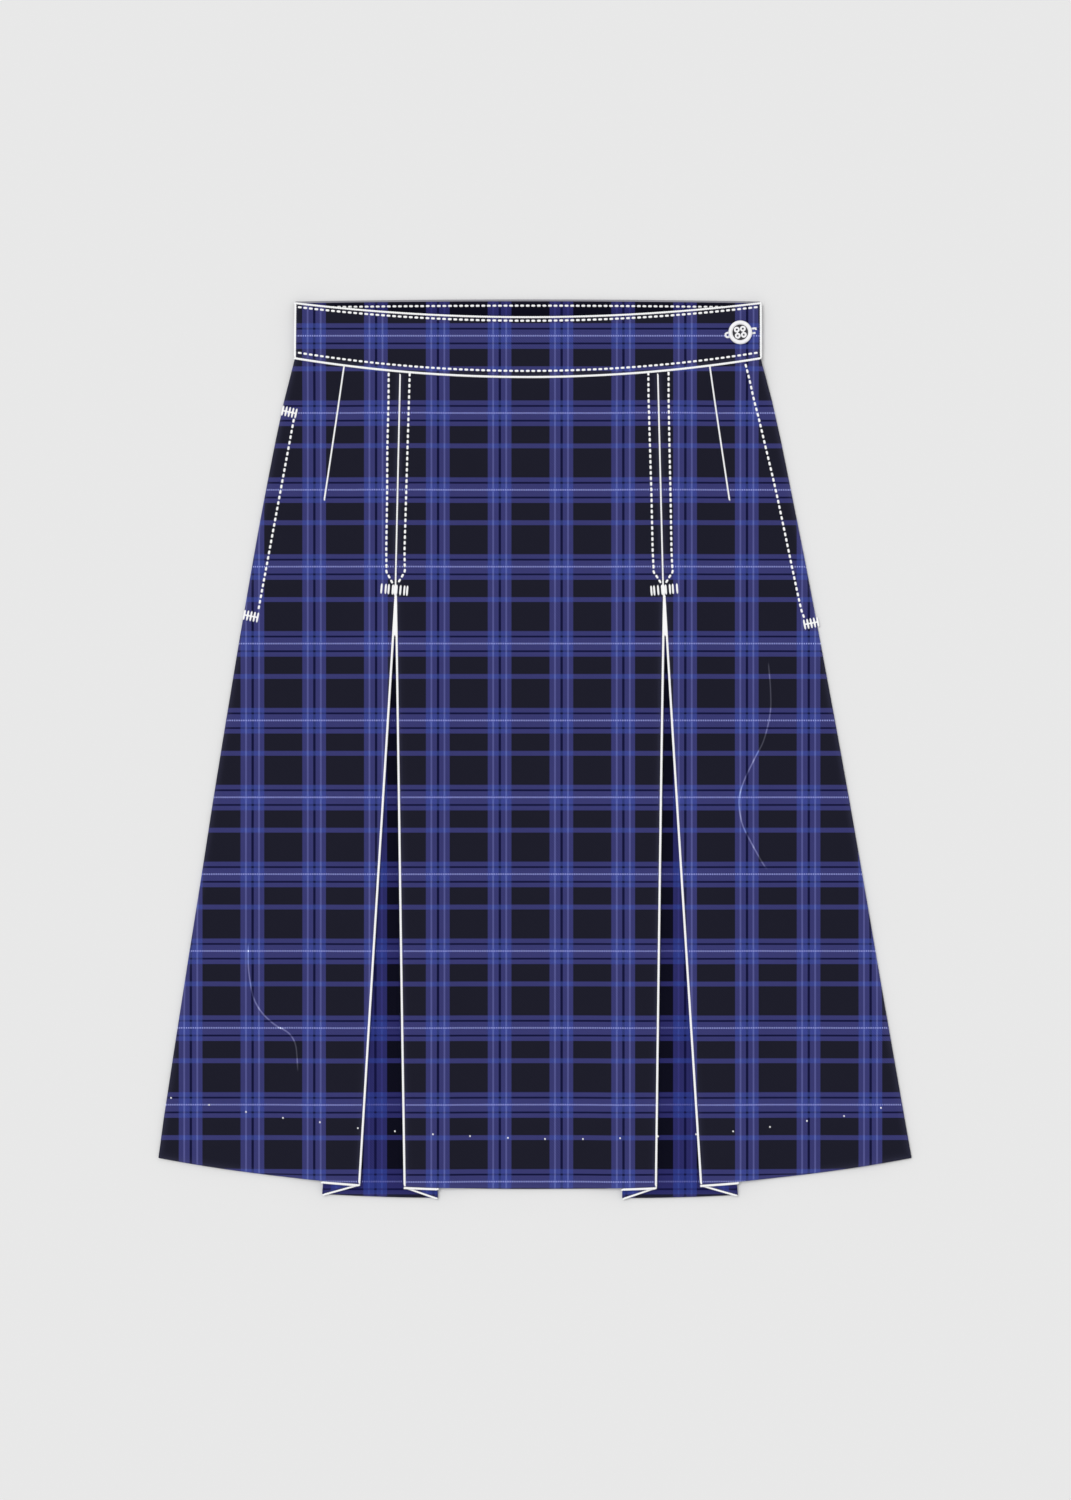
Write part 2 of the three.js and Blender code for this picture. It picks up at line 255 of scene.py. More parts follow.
@dataclass(frozen=True)
class ClothShell:
    """A closed wall of cloth on a grid of middle points. Rows run to -Y, columns to +X, the outside is up.

    Each middle point is moved along its normal by half the thickness to both sides. The four edges are closed
    by half rounds, whose depth in the plane of the cloth is the edge reach.
    """

    middle: Array
    half: Array
    cloth: Array
    edge_reach: float
    column_zones: Array | None = None
    wear: Array | None = None
    extra: dict[str, Array] = field(default_factory=dict)

    SIDE_ROUND: ClassVar[Array] = np.radians([36.0, 72.0, 108.0, 144.0])
    END_ROUND: ClassVar[Array] = np.radians([35.0, 62.0, 82.0])

    def part(self) -> Part:
        """Work out the closed wall.

        Returns:
            Points, faces, the cloth map, the wear of edges and any further measures.
        """
        reach = self.edge_reach
        middle = self.middle.copy()
        first, last = unit(middle[0] - middle[1]), unit(middle[-1] - middle[-2])
        middle[0] -= first * reach
        middle[-1] -= last * reach
        west, east = unit(middle[:, 0] - middle[:, 1]), unit(middle[:, -1] - middle[:, -2])
        middle[:, 0] -= west * reach
        middle[:, -1] -= east * reach
        normal = unit(np.cross(np.gradient(middle, axis=0), np.gradient(middle, axis=1)))

        sines, cosines = np.sin(self.END_ROUND), np.cos(self.END_ROUND)
        head = [middle[:1] + first * reach * s for s in sines[::-1]]
        tail = [middle[-1:] + last * reach * s for s in sines]
        middle = np.concatenate([*head, middle, *tail])
        taper = np.concatenate([cosines[::-1], np.ones(len(self.half)), cosines])
        half = self._with_ends(self.half) * taper[:, None]
        normal, west, east = (self._with_ends(values) for values in (normal, west, east))

        edge = (reach * taper)[:, None, None]
        sine, cosine = np.sin(self.SIDE_ROUND)[None, :, None], np.cos(self.SIDE_ROUND)[None, :, None]
        lift = normal * half[..., None]
        east_side = middle[:, -1:] + edge * east[:, None] * sine + lift[:, -1:] * cosine
        west_side = middle[:, :1] + edge * west[:, None] * sine + lift[:, :1] * cosine
        lower_side = (middle - lift)[:, ::-1]
        ring = np.concatenate([middle + lift, east_side, lower_side, west_side[:, ::-1]], axis=1)

        rows, around, columns = ring.shape[0], ring.shape[1], middle.shape[1]
        index = np.arange(rows * around).reshape(rows, around)
        turned = np.roll(index, -1, axis=1)
        walls = np.stack([index[:-1], index[1:], turned[1:], turned[:-1]], axis=-1).reshape(-1, 4)
        half_side = len(self.SIDE_ROUND) // 2
        upper = np.r_[around - half_side : around, 0 : columns + half_side]
        lower = np.r_[around - half_side - 1 : columns + half_side - 1 : -1]
        cap = np.stack([upper[:-1], upper[1:], lower[1:], lower[:-1]], axis=-1)
        faces = [walls, cap, (cap + (rows - 1) * around)[:, ::-1]]

        zones = []
        if self.column_zones is not None:
            wall_zone = self._round(self.column_zones[None, :, None])[0, :, 0]
            zones = [np.tile(wall_zone, rows - 1), wall_zone[upper[:-1]], wall_zone[upper[:-1]]]
        measures = {key: self._round(self._with_ends(v)[..., None]).ravel() for key, v in self.extra.items()}
        if self.wear is not None:
            measures["wear"] = self._round(self._with_ends(self.wear)[..., None]).ravel()
        maps = {"cloth": self._round(self._with_ends(self.cloth)).reshape(-1, 2) * MM}
        return Part(ring.reshape(-1, 3), faces, zones, maps, measures)

    def area(self) -> float:
        """Flat area of the cloth in square metres, each row's width times the height it stands for.

        Returns:
            The area.
        """
        width = self.cloth[:, -1, 0] - self.cloth[:, 0, 0]
        level = self.cloth[:, :, 1].mean(axis=1)
        return float(np.sum((width[1:] + width[:-1]) / 2 * -np.diff(level))) * MM * MM

    def _with_ends(self, values: Array) -> Array:
        """Repeat the first and the last row for the rounded ends."""
        count = len(self.END_ROUND)
        return np.concatenate([values[:1]] * count + [values] + [values[-1:]] * count)

    def _round(self, values: Array) -> Array:
        """Carry values of the middle points round the wall's ring.

        Args:
            values: One value a middle point.

        Returns:
            One value a point of the ring.
        """
        count = len(self.SIDE_ROUND)
        east, west = [values[:, -1:]] * count, [values[:, :1]] * count
        return np.concatenate([values, *east, values[:, ::-1], *west], axis=1)


# The cut of the skirt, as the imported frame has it

@dataclass(frozen=True)
class Pleat:
    """One pleat: a seam from waist to hip, two folded edges below it, an underlay, and its low corners.

    The seam is given at its top and its low end, and folds, underlay and peeks at the hem, left and right.
    Folded edges bow a little to +X, and the thread along them starts a little to +X of the seam.
    """

    side: str
    seam: tuple[float, float]
    fold: tuple[float, float]
    under: tuple[float, float]
    peek: tuple[float, float]
    bow: float
    start: float


@dataclass(frozen=True)
class Fold:
    """A broad soft fold: the points it runs through, its height and its half-width."""

    height: float
    width: float
    line: Line


@dataclass(frozen=True)
class SkirtCut:
    """Edges, seams, layers and folds of the skirt at every row, from 0 at the waist seam to 1 at the hem.

    Rows of the outline are a level, and the left and right edge at it. A pleat's bow is the share opened
    times the square of the share left, brought to 1 at its peak of 4/27.
    """

    BOW_LEVEL: ClassVar[float] = 27 / 4

    cloth: float = 0.9
    back_mid: float = 0.5
    gap: float = 0.3
    layer: float = 1.3
    pleat_ramp: float = 30.0
    waist_ramp: float = 34.0
    waist_y: float = 289.2
    waist_drop: float = 13.9
    hem_y: float = -302.9
    hem_drop: float = 22.9
    hem_power: float = 2.3
    back_waist_drop: float = -1.2
    back_hem_drop: float = 20.5
    pleat_opens_y: float = 113.0
    pleat_depth: float = 10.0
    row_steps: int = 6
    outline: tuple[tuple[float, float, float], ...] = (
        (289.2, -177.6, 166.9),
        (258.1, -185.7, 175.4),
        (228.5, -192.0, 182.0),
        (198.9, -197.8, 188.0),
        (169.3, -203.4, 193.9),
        (139.7, -208.7, 199.8),
        (80.5, -218.9, 211.0),
        (21.3, -228.7, 222.0),
        (-37.9, -238.3, 232.7),
        (-97.1, -247.4, 243.0),
        (-156.3, -256.8, 253.1),
        (-215.5, -266.0, 263.4),
        (-274.7, -275.0, 273.8),
        (-302.9, -278.8, 278.8),
    )
    pleats: tuple[Pleat, Pleat] = (
        Pleat("left", (-99.65, -103.3), (-130.0, -96.35), (-157.6, -71.8), (9.9, 7.6), 0.2, 0.35),
        Pleat("right", (90.8, 94.9), (89.4, 122.9), (64.4, 150.2), (7.6, 9.9), 0.0, 0.7),
    )
    folds: tuple[Fold, ...] = (
        Fold(1.3, 13, ((174, 64), (174, 6), (152, -42), (171, -90), (186, -150))),
        Fold(1.2, 13, ((-208, -60), (-212, -147), (-202, -197), (-180, -215), (-175, -265))),
        Fold(0.9, 17, ((-150, 180), (-162, 60), (-176, -70))),
        Fold(0.8, 20, ((-32, 90), (-38, -80), (-42, -300))),
        Fold(0.9, 18, ((40, -40), (43, -190), (47, -310))),
        Fold(0.9, 18, ((222, -110), (238, -220), (246, -310))),
    )

    @property
    def height(self) -> float:
        """Height of the skirt from the waist seam to the hem, at its sides."""
        return self.waist_y - self.hem_y

    @property
    def opens_row(self) -> float:
        """Row where the pleats open."""
        return (self.waist_y - self.pleat_opens_y - self.waist_drop) / self.height

    @property
    def front_mid(self) -> float:
        """Height of the middle of the front where it lies on the back."""
        return self.back_mid + self.layer

    def level(self, row: Array) -> Array:
        """Place along the skirt of a row before its dip."""
        return lerp(self.waist_y, self.hem_y, row)

    def sides(self, row: Array) -> tuple[Array, Array]:
        """Left and right side edge at a row, in straight lines between the levels of the outline.

        Args:
            row: Row of each point.

        Returns:
            Left and right edge.
        """
        levels, left, right = (np.array(column)[::-1] for column in zip(*self.outline))
        at = self.level(row)
        return np.interp(at, levels, left), np.interp(at, levels, right)

    def across(self, x: Array, row: Array) -> Array:
        """Distance from the skirt's middle, as a share of its half width."""
        left, right = self.sides(row)
        return np.minimum(1.0, np.abs(x - (left + right) / 2) / ((right - left) / 2))

    def front_y(self, x: Array, row: Array) -> Array:
        """Place of a point of the front: its level less a dip that grows from the waist's to the hem's.

        Args:
            x: Place across the skirt.
            row: Row of each point.

        Returns:
            Place along the skirt.
        """
        across = self.across(x, row)
        waist = self.waist_drop * (1 - across**2)
        hem = self.hem_drop * (1 - across**self.hem_power)
        return self.level(row) - lerp(waist, hem, row) - self.gap * (1 - row)

    def back_y(self, x: Array, row: Array) -> Array:
        """Place of a point of the back, with its own dips at the waist and the hem."""
        dip = lerp(self.back_waist_drop, self.back_hem_drop, row) * (1 - self.across(x, row) ** 2)
        return self.level(row) - dip - self.gap * (1 - row)

    def row_of(self, x: Array, y: Array) -> Array:
        """Find the row of a place on the front, step by step.

        Each step lowers the row by the place less that of the row so far, over the height.

        Args:
            x: Place across the skirt.
            y: Place along the skirt.

        Returns:
            Row of each place.
        """
        row = (self.waist_y - y) / self.height
        for _ in range(self.row_steps):
            row = row - (y - self.front_y(x, row)) / self.height
        return row

    def pleat_edges(self, pleat: Pleat, row: Array) -> tuple[Array, Array, Array, Array]:
        """Edges of a pleat at a row.

        Args:
            pleat: The pleat.
            row: Rows of the skirt.

        Returns:
            Left and right folded edge, and left and right edge of the underlay.
        """
        shut = np.minimum(1.0, row / self.opens_row)
        opened = np.maximum(0.0, (row - self.opens_row) / (1 - self.opens_row))
        bowed = pleat.bow * self.BOW_LEVEL * opened * (1 - opened) ** 2
        seam = lerp(pleat.seam[0], pleat.seam[1], shut) + bowed
        left = lerp(seam - self.gap / 2, pleat.fold[0], opened)
        right = lerp(seam + self.gap / 2, pleat.fold[1], opened)
        depth_left = lerp(self.pleat_depth, pleat.fold[0] - pleat.under[0], row)
        depth_right = lerp(self.pleat_depth, pleat.under[1] - pleat.fold[1], row)
        return left, right, left - depth_left, right + depth_right

    def near_waist(self, row: Array) -> Array:
        """Give 1 at the waist seam and 0 where the front is clear of the waistband."""
        return smooth(1 - row * self.height / self.waist_ramp)

    def soft_folds(self, x: Array, y: Array) -> Array:
        """Sum the broad folds, each a bell across its line.

        Args:
            x: Place across the skirt.
            y: Place along the skirt.

        Returns:
            Height that they add.
        """
        total = np.zeros(np.shape(x))
        for fold in self.folds:
            side, _, _ = along_line(x, y, rounded_line(fold.line, parts=4))
            total += fold.height * bell(side, fold.width)
        return total

    def lifted(self, x: Array, row: Array) -> Array:
        """Give 1 where the front lies over a pleat or at the waist seam, and 0 where it lies on the back.

        Args:
            x: Place across the skirt.
            row: Row of each point.

        Returns:
            Share of the lift, which eases out over the ramp beside each pleat.
        """
        over = np.zeros(np.broadcast(x, row).shape)
        for pleat in self.pleats:
            _, _, left, right = self.pleat_edges(pleat, row)
            outside = np.maximum(np.maximum(left - x, x - right), 0.0)
            over = np.maximum(over, smooth(1 - outside / self.pleat_ramp))
        return 1 - (1 - over) * (1 - self.near_waist(row))


# Lines that are sewn or pressed on the front

@dataclass(frozen=True)
class SewnLines:
    """Places of the front's seams, darts, pockets and creases."""

    left_topstitch: tuple[Line, Line] = (
        ((-108.2, 278.8), (-108.3, 258.1), (-109.2, 221.1), (-109.4, 184.1), (-110.0, 147.1), (-109.8, 130.8),
         (-105.0, 121.8)),
        ((-92.6, 278.8), (-93.2, 258.1), (-94.3, 221.1), (-95.4, 184.1), (-96.5, 147.1), (-96.3, 130.8),
         (-101.3, 122.6)),
    )
    right_topstitch: tuple[Line, Line] = (
        ((83.8, 279.5), (84.0, 258.1), (85.1, 221.1), (86.2, 184.1), (87.0, 147.1), (87.8, 130.8),
         (93.5, 122.1)),
        ((98.8, 279.5), (98.8, 258.1), (99.5, 221.1), (100.3, 184.1), (100.9, 147.1), (101.7, 130.8),
         (96.5, 122.2)),
    )
    darts: tuple[Line, Line] = (
        ((-141.2, 283.2), (-155.9, 184.1)),
        ((129.2, 283.2), (143.9, 184.1)),
    )
    left_opening: Line = ((-178.3, 244.8), (-204.7, 102.7))
    right_opening: Line = (
        (155.4, 285.2), (158.7, 272.9), (162.1, 258.1), (165.0, 247.0), (171.2, 221.1), (179.8, 184.1),
        (195.4, 110.1), (199.4, 96.3),
    )
    creases: tuple[Line, Line] = (
        ((172.6, 64.6), (174.2, 43.5), (173.9, 26.0), (169.3, 6.5), (163.2, -5.8), (155.2, -22.4),
         (151.5, -33.5), (150.9, -41.6), (152.2, -51.2), (155.4, -60.8), (166.5, -81.4), (172.0, -89.9)),
        ((-212.1, -143.7), (-212.1, -160.0), (-210.6, -173.0), (-207.9, -185.0), (-201.7, -195.6),
         (-191.5, -204.9), (-185.3, -208.0), (-181.0, -211.6), (-178.2, -216.0), (-176.5, -222.5),
         (-175.4, -239.2)),
    )
    hem_stitches: Line = (
        (-269.4, -258.4), (-241.2, -263.6), (-213.9, -268.8), (-186.5, -273.2), (-159.1, -276.2),
        (-131.0, -280.6), (-103.6, -282.9), (-75.5, -285.1), (-48.1, -286.6), (-20.0, -288.0),
        (7.4, -288.8), (35.5, -288.8), (62.9, -288.0), (91.0, -286.6), (119.1, -285.1),
        (146.5, -282.9), (173.9, -279.9), (201.3, -275.5), (228.7, -271.8), (256.0, -265.8),
    )
    pleat_tacks: Line = ((-103.3, 117.6), (94.9, 117.6))
    side_tacks: Line = ((-181.8, 249.2), (-210.2, 98.1), (204.4, 92.9))


@dataclass(frozen=True)
class FrontSurface:
    """Height of the front: the cut's layers and folds, and finer dents and rises from sewing and wear.

    Each dip, dent, ridge and puff is its height and its half-width. A flank of a crease is its share of the
    height, its distance to the left and its half-width.
    """

    cut: SkirtCut
    lines: SewnLines
    crease_height: float = 0.7
    crease_width: float = 2.4
    channel_depth: float = 0.24
    channel_width: float = 2.0
    crease_flanks: tuple[tuple[float, float, float], ...] = ((0.35, -9.0, 7.0), (-0.45, 7.0, 5.0))
    seam_dip: tuple[float, float] = (0.45, 2.4)
    hem_rise: float = 0.2
    hem_ease: float = 5.0
    softness: float = 0.06
    waves: int = 12
    wave_lengths: tuple[float, float] = (45.0, 170.0)
    seed: int = 11
    crease_ends: float = 22.0
    dart_dent: tuple[float, float] = (0.3, 2.4)
    dart_fade: float = 25.0
    dart_puff: tuple[float, float] = (0.32, 11.0)
    puff_below: float = 8.0
    puff_stretch: float = 1.8
    tack_stretch: float = 1.3
    pucker_share: float = 0.4
    pucker_wave: float = 8.24
    hem_ridge: tuple[float, float] = (0.1, 2.5)
    pick_dent: tuple[float, float] = (0.28, 3.4)
    tack_dent: tuple[float, float] = (0.25, 7.0)
    side_dent: tuple[float, float] = (0.22, 2.6)
    lowest: float = -0.3
    lowest_on_pleats: float = 0.4

    def fine_relief(self, x: Array, y: Array, row: Array) -> Array:
        """Sum the small forms: creases, darts, sewn channels, the hem's double cloth, tacks and softness.

        Args:
            x: Place across the skirt.
            y: Place along the skirt.
            row: Row of each point.

        Returns:
            Height to add, held above a lowest level. That is lower over the pleats, where the channels of the
            topstitching can press the front slightly into its own turned-under edge.
        """
        total = self.unevenness(x, y)
        for crease in self.lines.creases:
            side, run, length = along_line(x, y, rounded_line(crease))
            ends = smooth(run / self.crease_ends) * smooth((length - run) / self.crease_ends)
            ridge = bell(side, self.crease_width)
            for share, place, width in self.crease_flanks:
                ridge = ridge + share * bell(side - place, width)
            total += self.crease_height * ends * ridge
        for dart in self.lines.darts:
            side, run, length = along_line(x, y, np.array(dart))
            fade = smooth((length - run) / self.dart_fade)
            total -= self.dart_dent[0] * bell(side, self.dart_dent[1]) * fade
            tip_x, tip_y = dart[1]
            below_tip = np.hypot(x - tip_x, (y - tip_y + self.puff_below) / self.puff_stretch)
            total += self.dart_puff[0] * bell(below_tip, self.dart_puff[1])
        rows = [*self.lines.left_topstitch, *self.lines.right_topstitch]
        for line in [*rows, self.lines.left_opening, self.lines.right_opening]:
            side, run, _ = along_line(x, y, np.array(line))
            pucker = 1 + self.pucker_share * np.cos(run * 2 * math.pi / self.pucker_wave)
            total -= self.channel_depth * bell(side, self.channel_width) * pucker
        side, _, _ = along_line(x, y, np.array(self.lines.hem_stitches))
        ridge = self.hem_ridge[0] * bell(side, self.hem_ridge[1])
        total += self.hem_rise * smooth(-side / self.hem_ease) + ridge
        for px, py in self.lines.hem_stitches:
            total -= self.pick_dent[0] * bell(np.hypot(x - px, y - py), self.pick_dent[1])
        for px, py in (*self.lines.side_tacks, *self.lines.pleat_tacks):
            away = np.hypot(x - px, (y - py) * self.tack_stretch)
            total -= self.tack_dent[0] * bell(away, self.tack_dent[1])
        left, right = self.cut.sides(row)
        inset = np.minimum(x - left, right - x)
        total -= self.side_dent[0] * bell(inset, self.side_dent[1])
        total -= self.seam_dip[0] * bell(row * self.cut.height, self.seam_dip[1])
        return np.maximum(total, self.lowest - self.lowest_on_pleats * self.cut.lifted(x, row))

    def unevenness(self, x: Array, y: Array) -> Array:
        """Sum slow waves of cloth that was handled, with seeded directions and lengths.

        Args:
            x: Place across the skirt.
            y: Place along the skirt.

        Returns:
            Height to add.
        """
        seeded = np.random.default_rng(self.seed)
        total = np.zeros(np.shape(x))
        for _ in range(self.waves):
            turn, start = seeded.uniform(0, 2 * math.pi, 2)
            length = seeded.uniform(*self.wave_lengths)
            total += np.sin((x * math.cos(turn) + y * math.sin(turn)) * 2 * math.pi / length + start)
        return self.softness * total

    def middle(self, x: Array, y: Array, row: Array) -> Array:
        """Height of the middle of the cloth: its layers below, its broad folds and its fine relief.

        Args:
            x: Place across the skirt.
            y: Place along the skirt.
            row: Row of each point.

        Returns:
            Height of each point.
        """
        folds = self.cut.soft_folds(x, y) * (1 - self.cut.near_waist(row))
        rise = 2 * self.cut.layer * self.cut.lifted(x, row)
        return self.cut.front_mid + rise + folds + self.fine_relief(x, y, row)

    def top(self, x: Array, y: Array) -> Array:
        """Height of the front's outer face at a place seen from above."""
        return self.middle(x, y, self.cut.row_of(x, y)) + self.cut.cloth / 2

    def turned_mid(self, x: Array, y: Array, row: Array) -> Array:
        """Height of the middle of an edge that is turned under at a pleat."""
        folds = self.cut.soft_folds(x, y) * (1 - self.cut.near_waist(row))
        return self.cut.front_mid + self.cut.layer + folds


# Finishes

class Recipe:
    """Builds one material out of nodes, in a few words each."""

    def __init__(self, name: str) -> None:
        """Start a material with a shader and an output.

        Args:
            name: Name of the material.
        """
        self.material = bpy.data.materials.new(name)
        self.material.use_nodes = True
        self.tree = self.material.node_tree
        self.tree.nodes.clear()
        self.shader = self.node("BsdfPrincipled", {})
        self.node("OutputMaterial", {"Surface": self.shader.outputs["BSDF"]})

    def feed(self, node: bpy.types.Node, fed: dict[int | str, object]) -> None:
        """Link values to the sockets of a node, or set them there if they are plain numbers or colours.

        Args:
            node: The node.
            fed: What goes into each socket.
        """
        for key, value in fed.items():
            if isinstance(value, bpy.types.NodeSocket):
                self.tree.links.new(value, node.inputs[key])
            else:
                node.inputs[key].default_value = value

    def node(self, kind: str, fed: dict[int | str, object], **settings: object) -> bpy.types.Node:
        """Add a node.

        Args:
            kind: Blender's name of the node, without the start that all share.
            fed: What goes into each socket.
            settings: The node's other settings.

        Returns:
            The node.
        """
        node = self.tree.nodes.new("ShaderNode" + kind)
        for name, value in settings.items():
            setattr(node, name, value)
        self.feed(node, fed)
        return node

    def finish(self, colour: object, roughness: object, others: dict[str, object]) -> bpy.types.Material:
        """Feed the shader.

        Args:
            colour: Its colour.
            roughness: Its roughness.
            others: Its other inputs.

        Returns:
            The material.
        """
        self.feed(self.shader, {"Base Color": colour, "Roughness": roughness, **others})
        return self.material

    def math(
        self, operation: str, first: object, second: object = 0.0, third: object = 0.0
    ) -> bpy.types.NodeSocket:
        """Add one step of arithmetic.

        Args:
            operation: Blender's name of the step.
            first: First value.
            second: Second value.
            third: Third value.

        Returns:
            The result.
        """
        return self.node("Math", {0: first, 1: second, 2: third}, operation=operation).outputs[0]

    def mix(self, share: object, first: object, second: object, blend: str = "MIX") -> bpy.types.NodeSocket:
        """Mix two colours.

        Args:
            share: Share of the second.
            first: First colour.
            second: Second colour.
            blend: Blender's name of the way to mix.

        Returns:
            The mixed colour.
        """
        # Blender numbers the sockets of the two colours 6 and 7, and that of the mixed one 2
        fed = {"Factor": share, 6: first, 7: second}
        return self.node("Mix", fed, data_type="RGBA", blend_type=blend).outputs[2]

    def chart(self, value: object, stops: list[Stop], steps: bool) -> bpy.types.NodeSocket:
        """Look a value up in a short table of colours.

        Args:
            value: Place in the table, 0 to 1.
            stops: Places and their colours.
            steps: Hold each colour to the next place, and don't blend.

        Returns:
            The colour found.
        """
        node = self.node("ValToRGB", {0: value})
        ramp = node.color_ramp
        ramp.interpolation = "CONSTANT" if steps else "LINEAR"
        while len(ramp.elements) < len(stops):
            ramp.elements.new(0.5)
        for element, (place, colour) in zip(ramp.elements, stops):
            element.position = place
            element.color = (*colour[:3], 1.0)
        return node.outputs[0]

    def split(self, vector: bpy.types.NodeSocket) -> list[bpy.types.NodeSocket]:
        """Split a vector or a colour into three values."""
        return list(self.node("SeparateXYZ", {0: vector}).outputs)

    def grey(self, value: bpy.types.NodeSocket) -> bpy.types.NodeSocket:
        """Make a grey of one value."""
        return self.node("CombineXYZ", {0: value, 1: value, 2: value}).outputs[0]

    def map(self, name: str) -> bpy.types.NodeSocket:
        """Read one of the piece's own maps."""
        return self.node("UVMap", {}, uv_map=name).outputs[0]

    def measure(self, name: str) -> bpy.types.NodeSocket:
        """Read a measure that each point of the piece carries."""
        return self.node("Attribute", {}, attribute_name=name).outputs["Fac"]

    def place(self) -> bpy.types.NodeSocket:
        """Read the place on the piece, in metres."""
        return self.node("TexCoord", {}).outputs["Object"]

    def noise(self, vector: bpy.types.NodeSocket, scale: float, detail: float = 2.0) -> bpy.types.NodeSocket:
        """Add cloudy noise of a number of spots to the metre."""
        return self.node("TexNoise", {"Vector": vector, "Scale": scale, "Detail": detail}).outputs[0]

    def bump(self, height: bpy.types.NodeSocket, depth: float, strength: float) -> None:
        """Raise and lower the surface.

        Args:
            height: Height, 0 to 1.
            depth: What a height of 1 stands for, in metres.
            strength: How much of it shows, 0 to 1.
        """
        node = self.node("Bump", {"Height": height, "Distance": depth, "Strength": strength})
        self.feed(self.shader, {"Normal": node.outputs[0]})


@dataclass(frozen=True)
class PlaidTwill:
    """Checked wool twill. Warp and weft bands each add one tone of blue to a near-black ground.

    Each row of a chart is the place in the repeat where a stripe starts, its tone, its share of light thread
    and its share of navy thread. Contrast, shades and roughness are a factor and what is added to it, and a
    relief is its depth in metres and how much of it shows.
    """

    name: str
    ground: Colour = (31, 31, 43)
    single: Colour = (60, 60, 113)
    double: Colour = (61, 70, 142)
    light: Colour = (85, 87, 144)
    light_crossing: Colour = (90, 101, 170)
    navy: Colour = (22, 23, 57)
    navy_crossing: Colour = (49, 58, 115)
    dots: Colour = (176, 183, 252)
    gloss: float = 0.0045
    crease_highlights: bool = False
    warp_repeat: float = 45.73
    warp_start: float = -80.7
    warp: tuple[Stripe, ...] = (
        (0.0, 1.0, 0.0, 0.0),
        (3.35, 1.0, 1.0, 0.0),
        (4.55, 1.0, 0.0, 0.0),
        (7.9, 0.0, 0.0, 1.0),
        (9.8, 1.0, 0.0, 0.0),
        (12.95, 1.0, 1.0, 0.0),
        (14.15, 1.0, 0.0, 0.0),
        (17.5, 0.0, 0.0, 0.0),
    )
    weft_repeat: float = 56.88
    weft_start: float = 87.06
    weft: tuple[Stripe, ...] = (
        (0.0, 1.0, 0.0, 0.0),
        (3.3, 0.0, 0.0, 1.0),
        (4.6, 1.0, 0.0, 0.0),
        (8.55, 1.0, 1.0, 0.0),
        (9.65, 1.0, 0.0, 0.0),
        (14.0, 0.0, 0.0, 1.0),
        (15.5, 1.0, 0.0, 0.0),
        (18.8, 0.0, 0.0, 0.0),
        (31.7, 1.0, 0.0, 0.0),
        (35.3, 0.0, 0.0, 0.0),
    )
    dot_pitch: float = 1.7
    twill_pitch: float = 1.9
    twill_share: float = 0.28
    dot_contrast: tuple[float, float] = (2.6, -0.6)
    fibre_shade: tuple[float, float] = (0.30, 0.85)
    cloud_shade: tuple[float, float] = (0.12, 0.94)
    worn: Colour = (120, 120, 160)
    worn_share: float = 0.14
    # Painted highlight along the pressed creases: its sharpness, strength, gain and added light.
    crease_highlight_sharpness: float = 1.5
    crease_highlight_strength: float = 0.7
    crease_highlight_gain: tuple[float, float, float, float] = (5.7, 5.7, 3.0, 1.0)
    crease_highlight_lift: tuple[float, float, float, float] = (0.04, 0.04, 0.07, 1.0)
    fibre_scale: float = 1500.0
    cloud_scale: float = 22.0
    noise_detail: float = 3.0
    roughness: tuple[float, float] = (0.2, 0.75)
    relief: tuple[float, float] = (0.00018, 0.55)

    SHADER: ClassVar[dict[str, object]] = {
        "Specular IOR Level": 0.1,
        "Sheen Weight": 0.06,
        "Sheen Roughness": 0.4,
        "Sheen Tint": (0.55, 0.6, 0.95, 1.0),
    }

    def make(self) -> bpy.types.Material:
        """Build the material on the piece's cloth map, whose unit is the metre.

        The tone is warp plus weft, and the diagonal of the twill favours one or the other by turns.

        Returns:
            The material.
        """
        r = Recipe(self.name)
        across, down, _ = r.split(r.map("cloth"))
        across, down = (r.math("MULTIPLY", place, 1 / MM) for place in (across, down))
        warp_at = self._repeat(r, r.math("SUBTRACT", across, self.warp_start), self.warp_repeat)
        weft_at = self._repeat(r, r.math("SUBTRACT", self.weft_start, down), self.weft_repeat)
        warp_stops = self._stops(self.warp, self.warp_repeat)
        weft_stops = self._stops(self.weft, self.weft_repeat)
        warp, warp_light, warp_navy = r.split(r.chart(warp_at, warp_stops, True))
        weft, weft_light, weft_navy = r.split(r.chart(weft_at, weft_stops, True))

        diagonal = r.math("MULTIPLY", r.math("ADD", across, down), 2 * math.pi / self.twill_pitch)
        twill = r.math("SINE", diagonal)
        favour = r.math("MULTIPLY", r.math("SUBTRACT", warp, weft), twill)
        favour = r.math("MULTIPLY", favour, self.twill_share)
        tone = r.math("MULTIPLY", r.math("ADD", r.math("ADD", warp, weft), favour), 0.5)
        ground, single, double = (ink(*c, self.gloss) for c in (self.ground, self.single, self.double))
        colour = r.chart(tone, [(0.0, ground), (0.5, single), (1.0, double)], False)
        other = r.math("MAXIMUM", warp, weft)
        navy = r.mix(other, ink(*self.navy, self.gloss), ink(*self.navy_crossing, self.gloss))
        colour = r.mix(r.math("MAXIMUM", warp_navy, weft_navy), colour, navy)

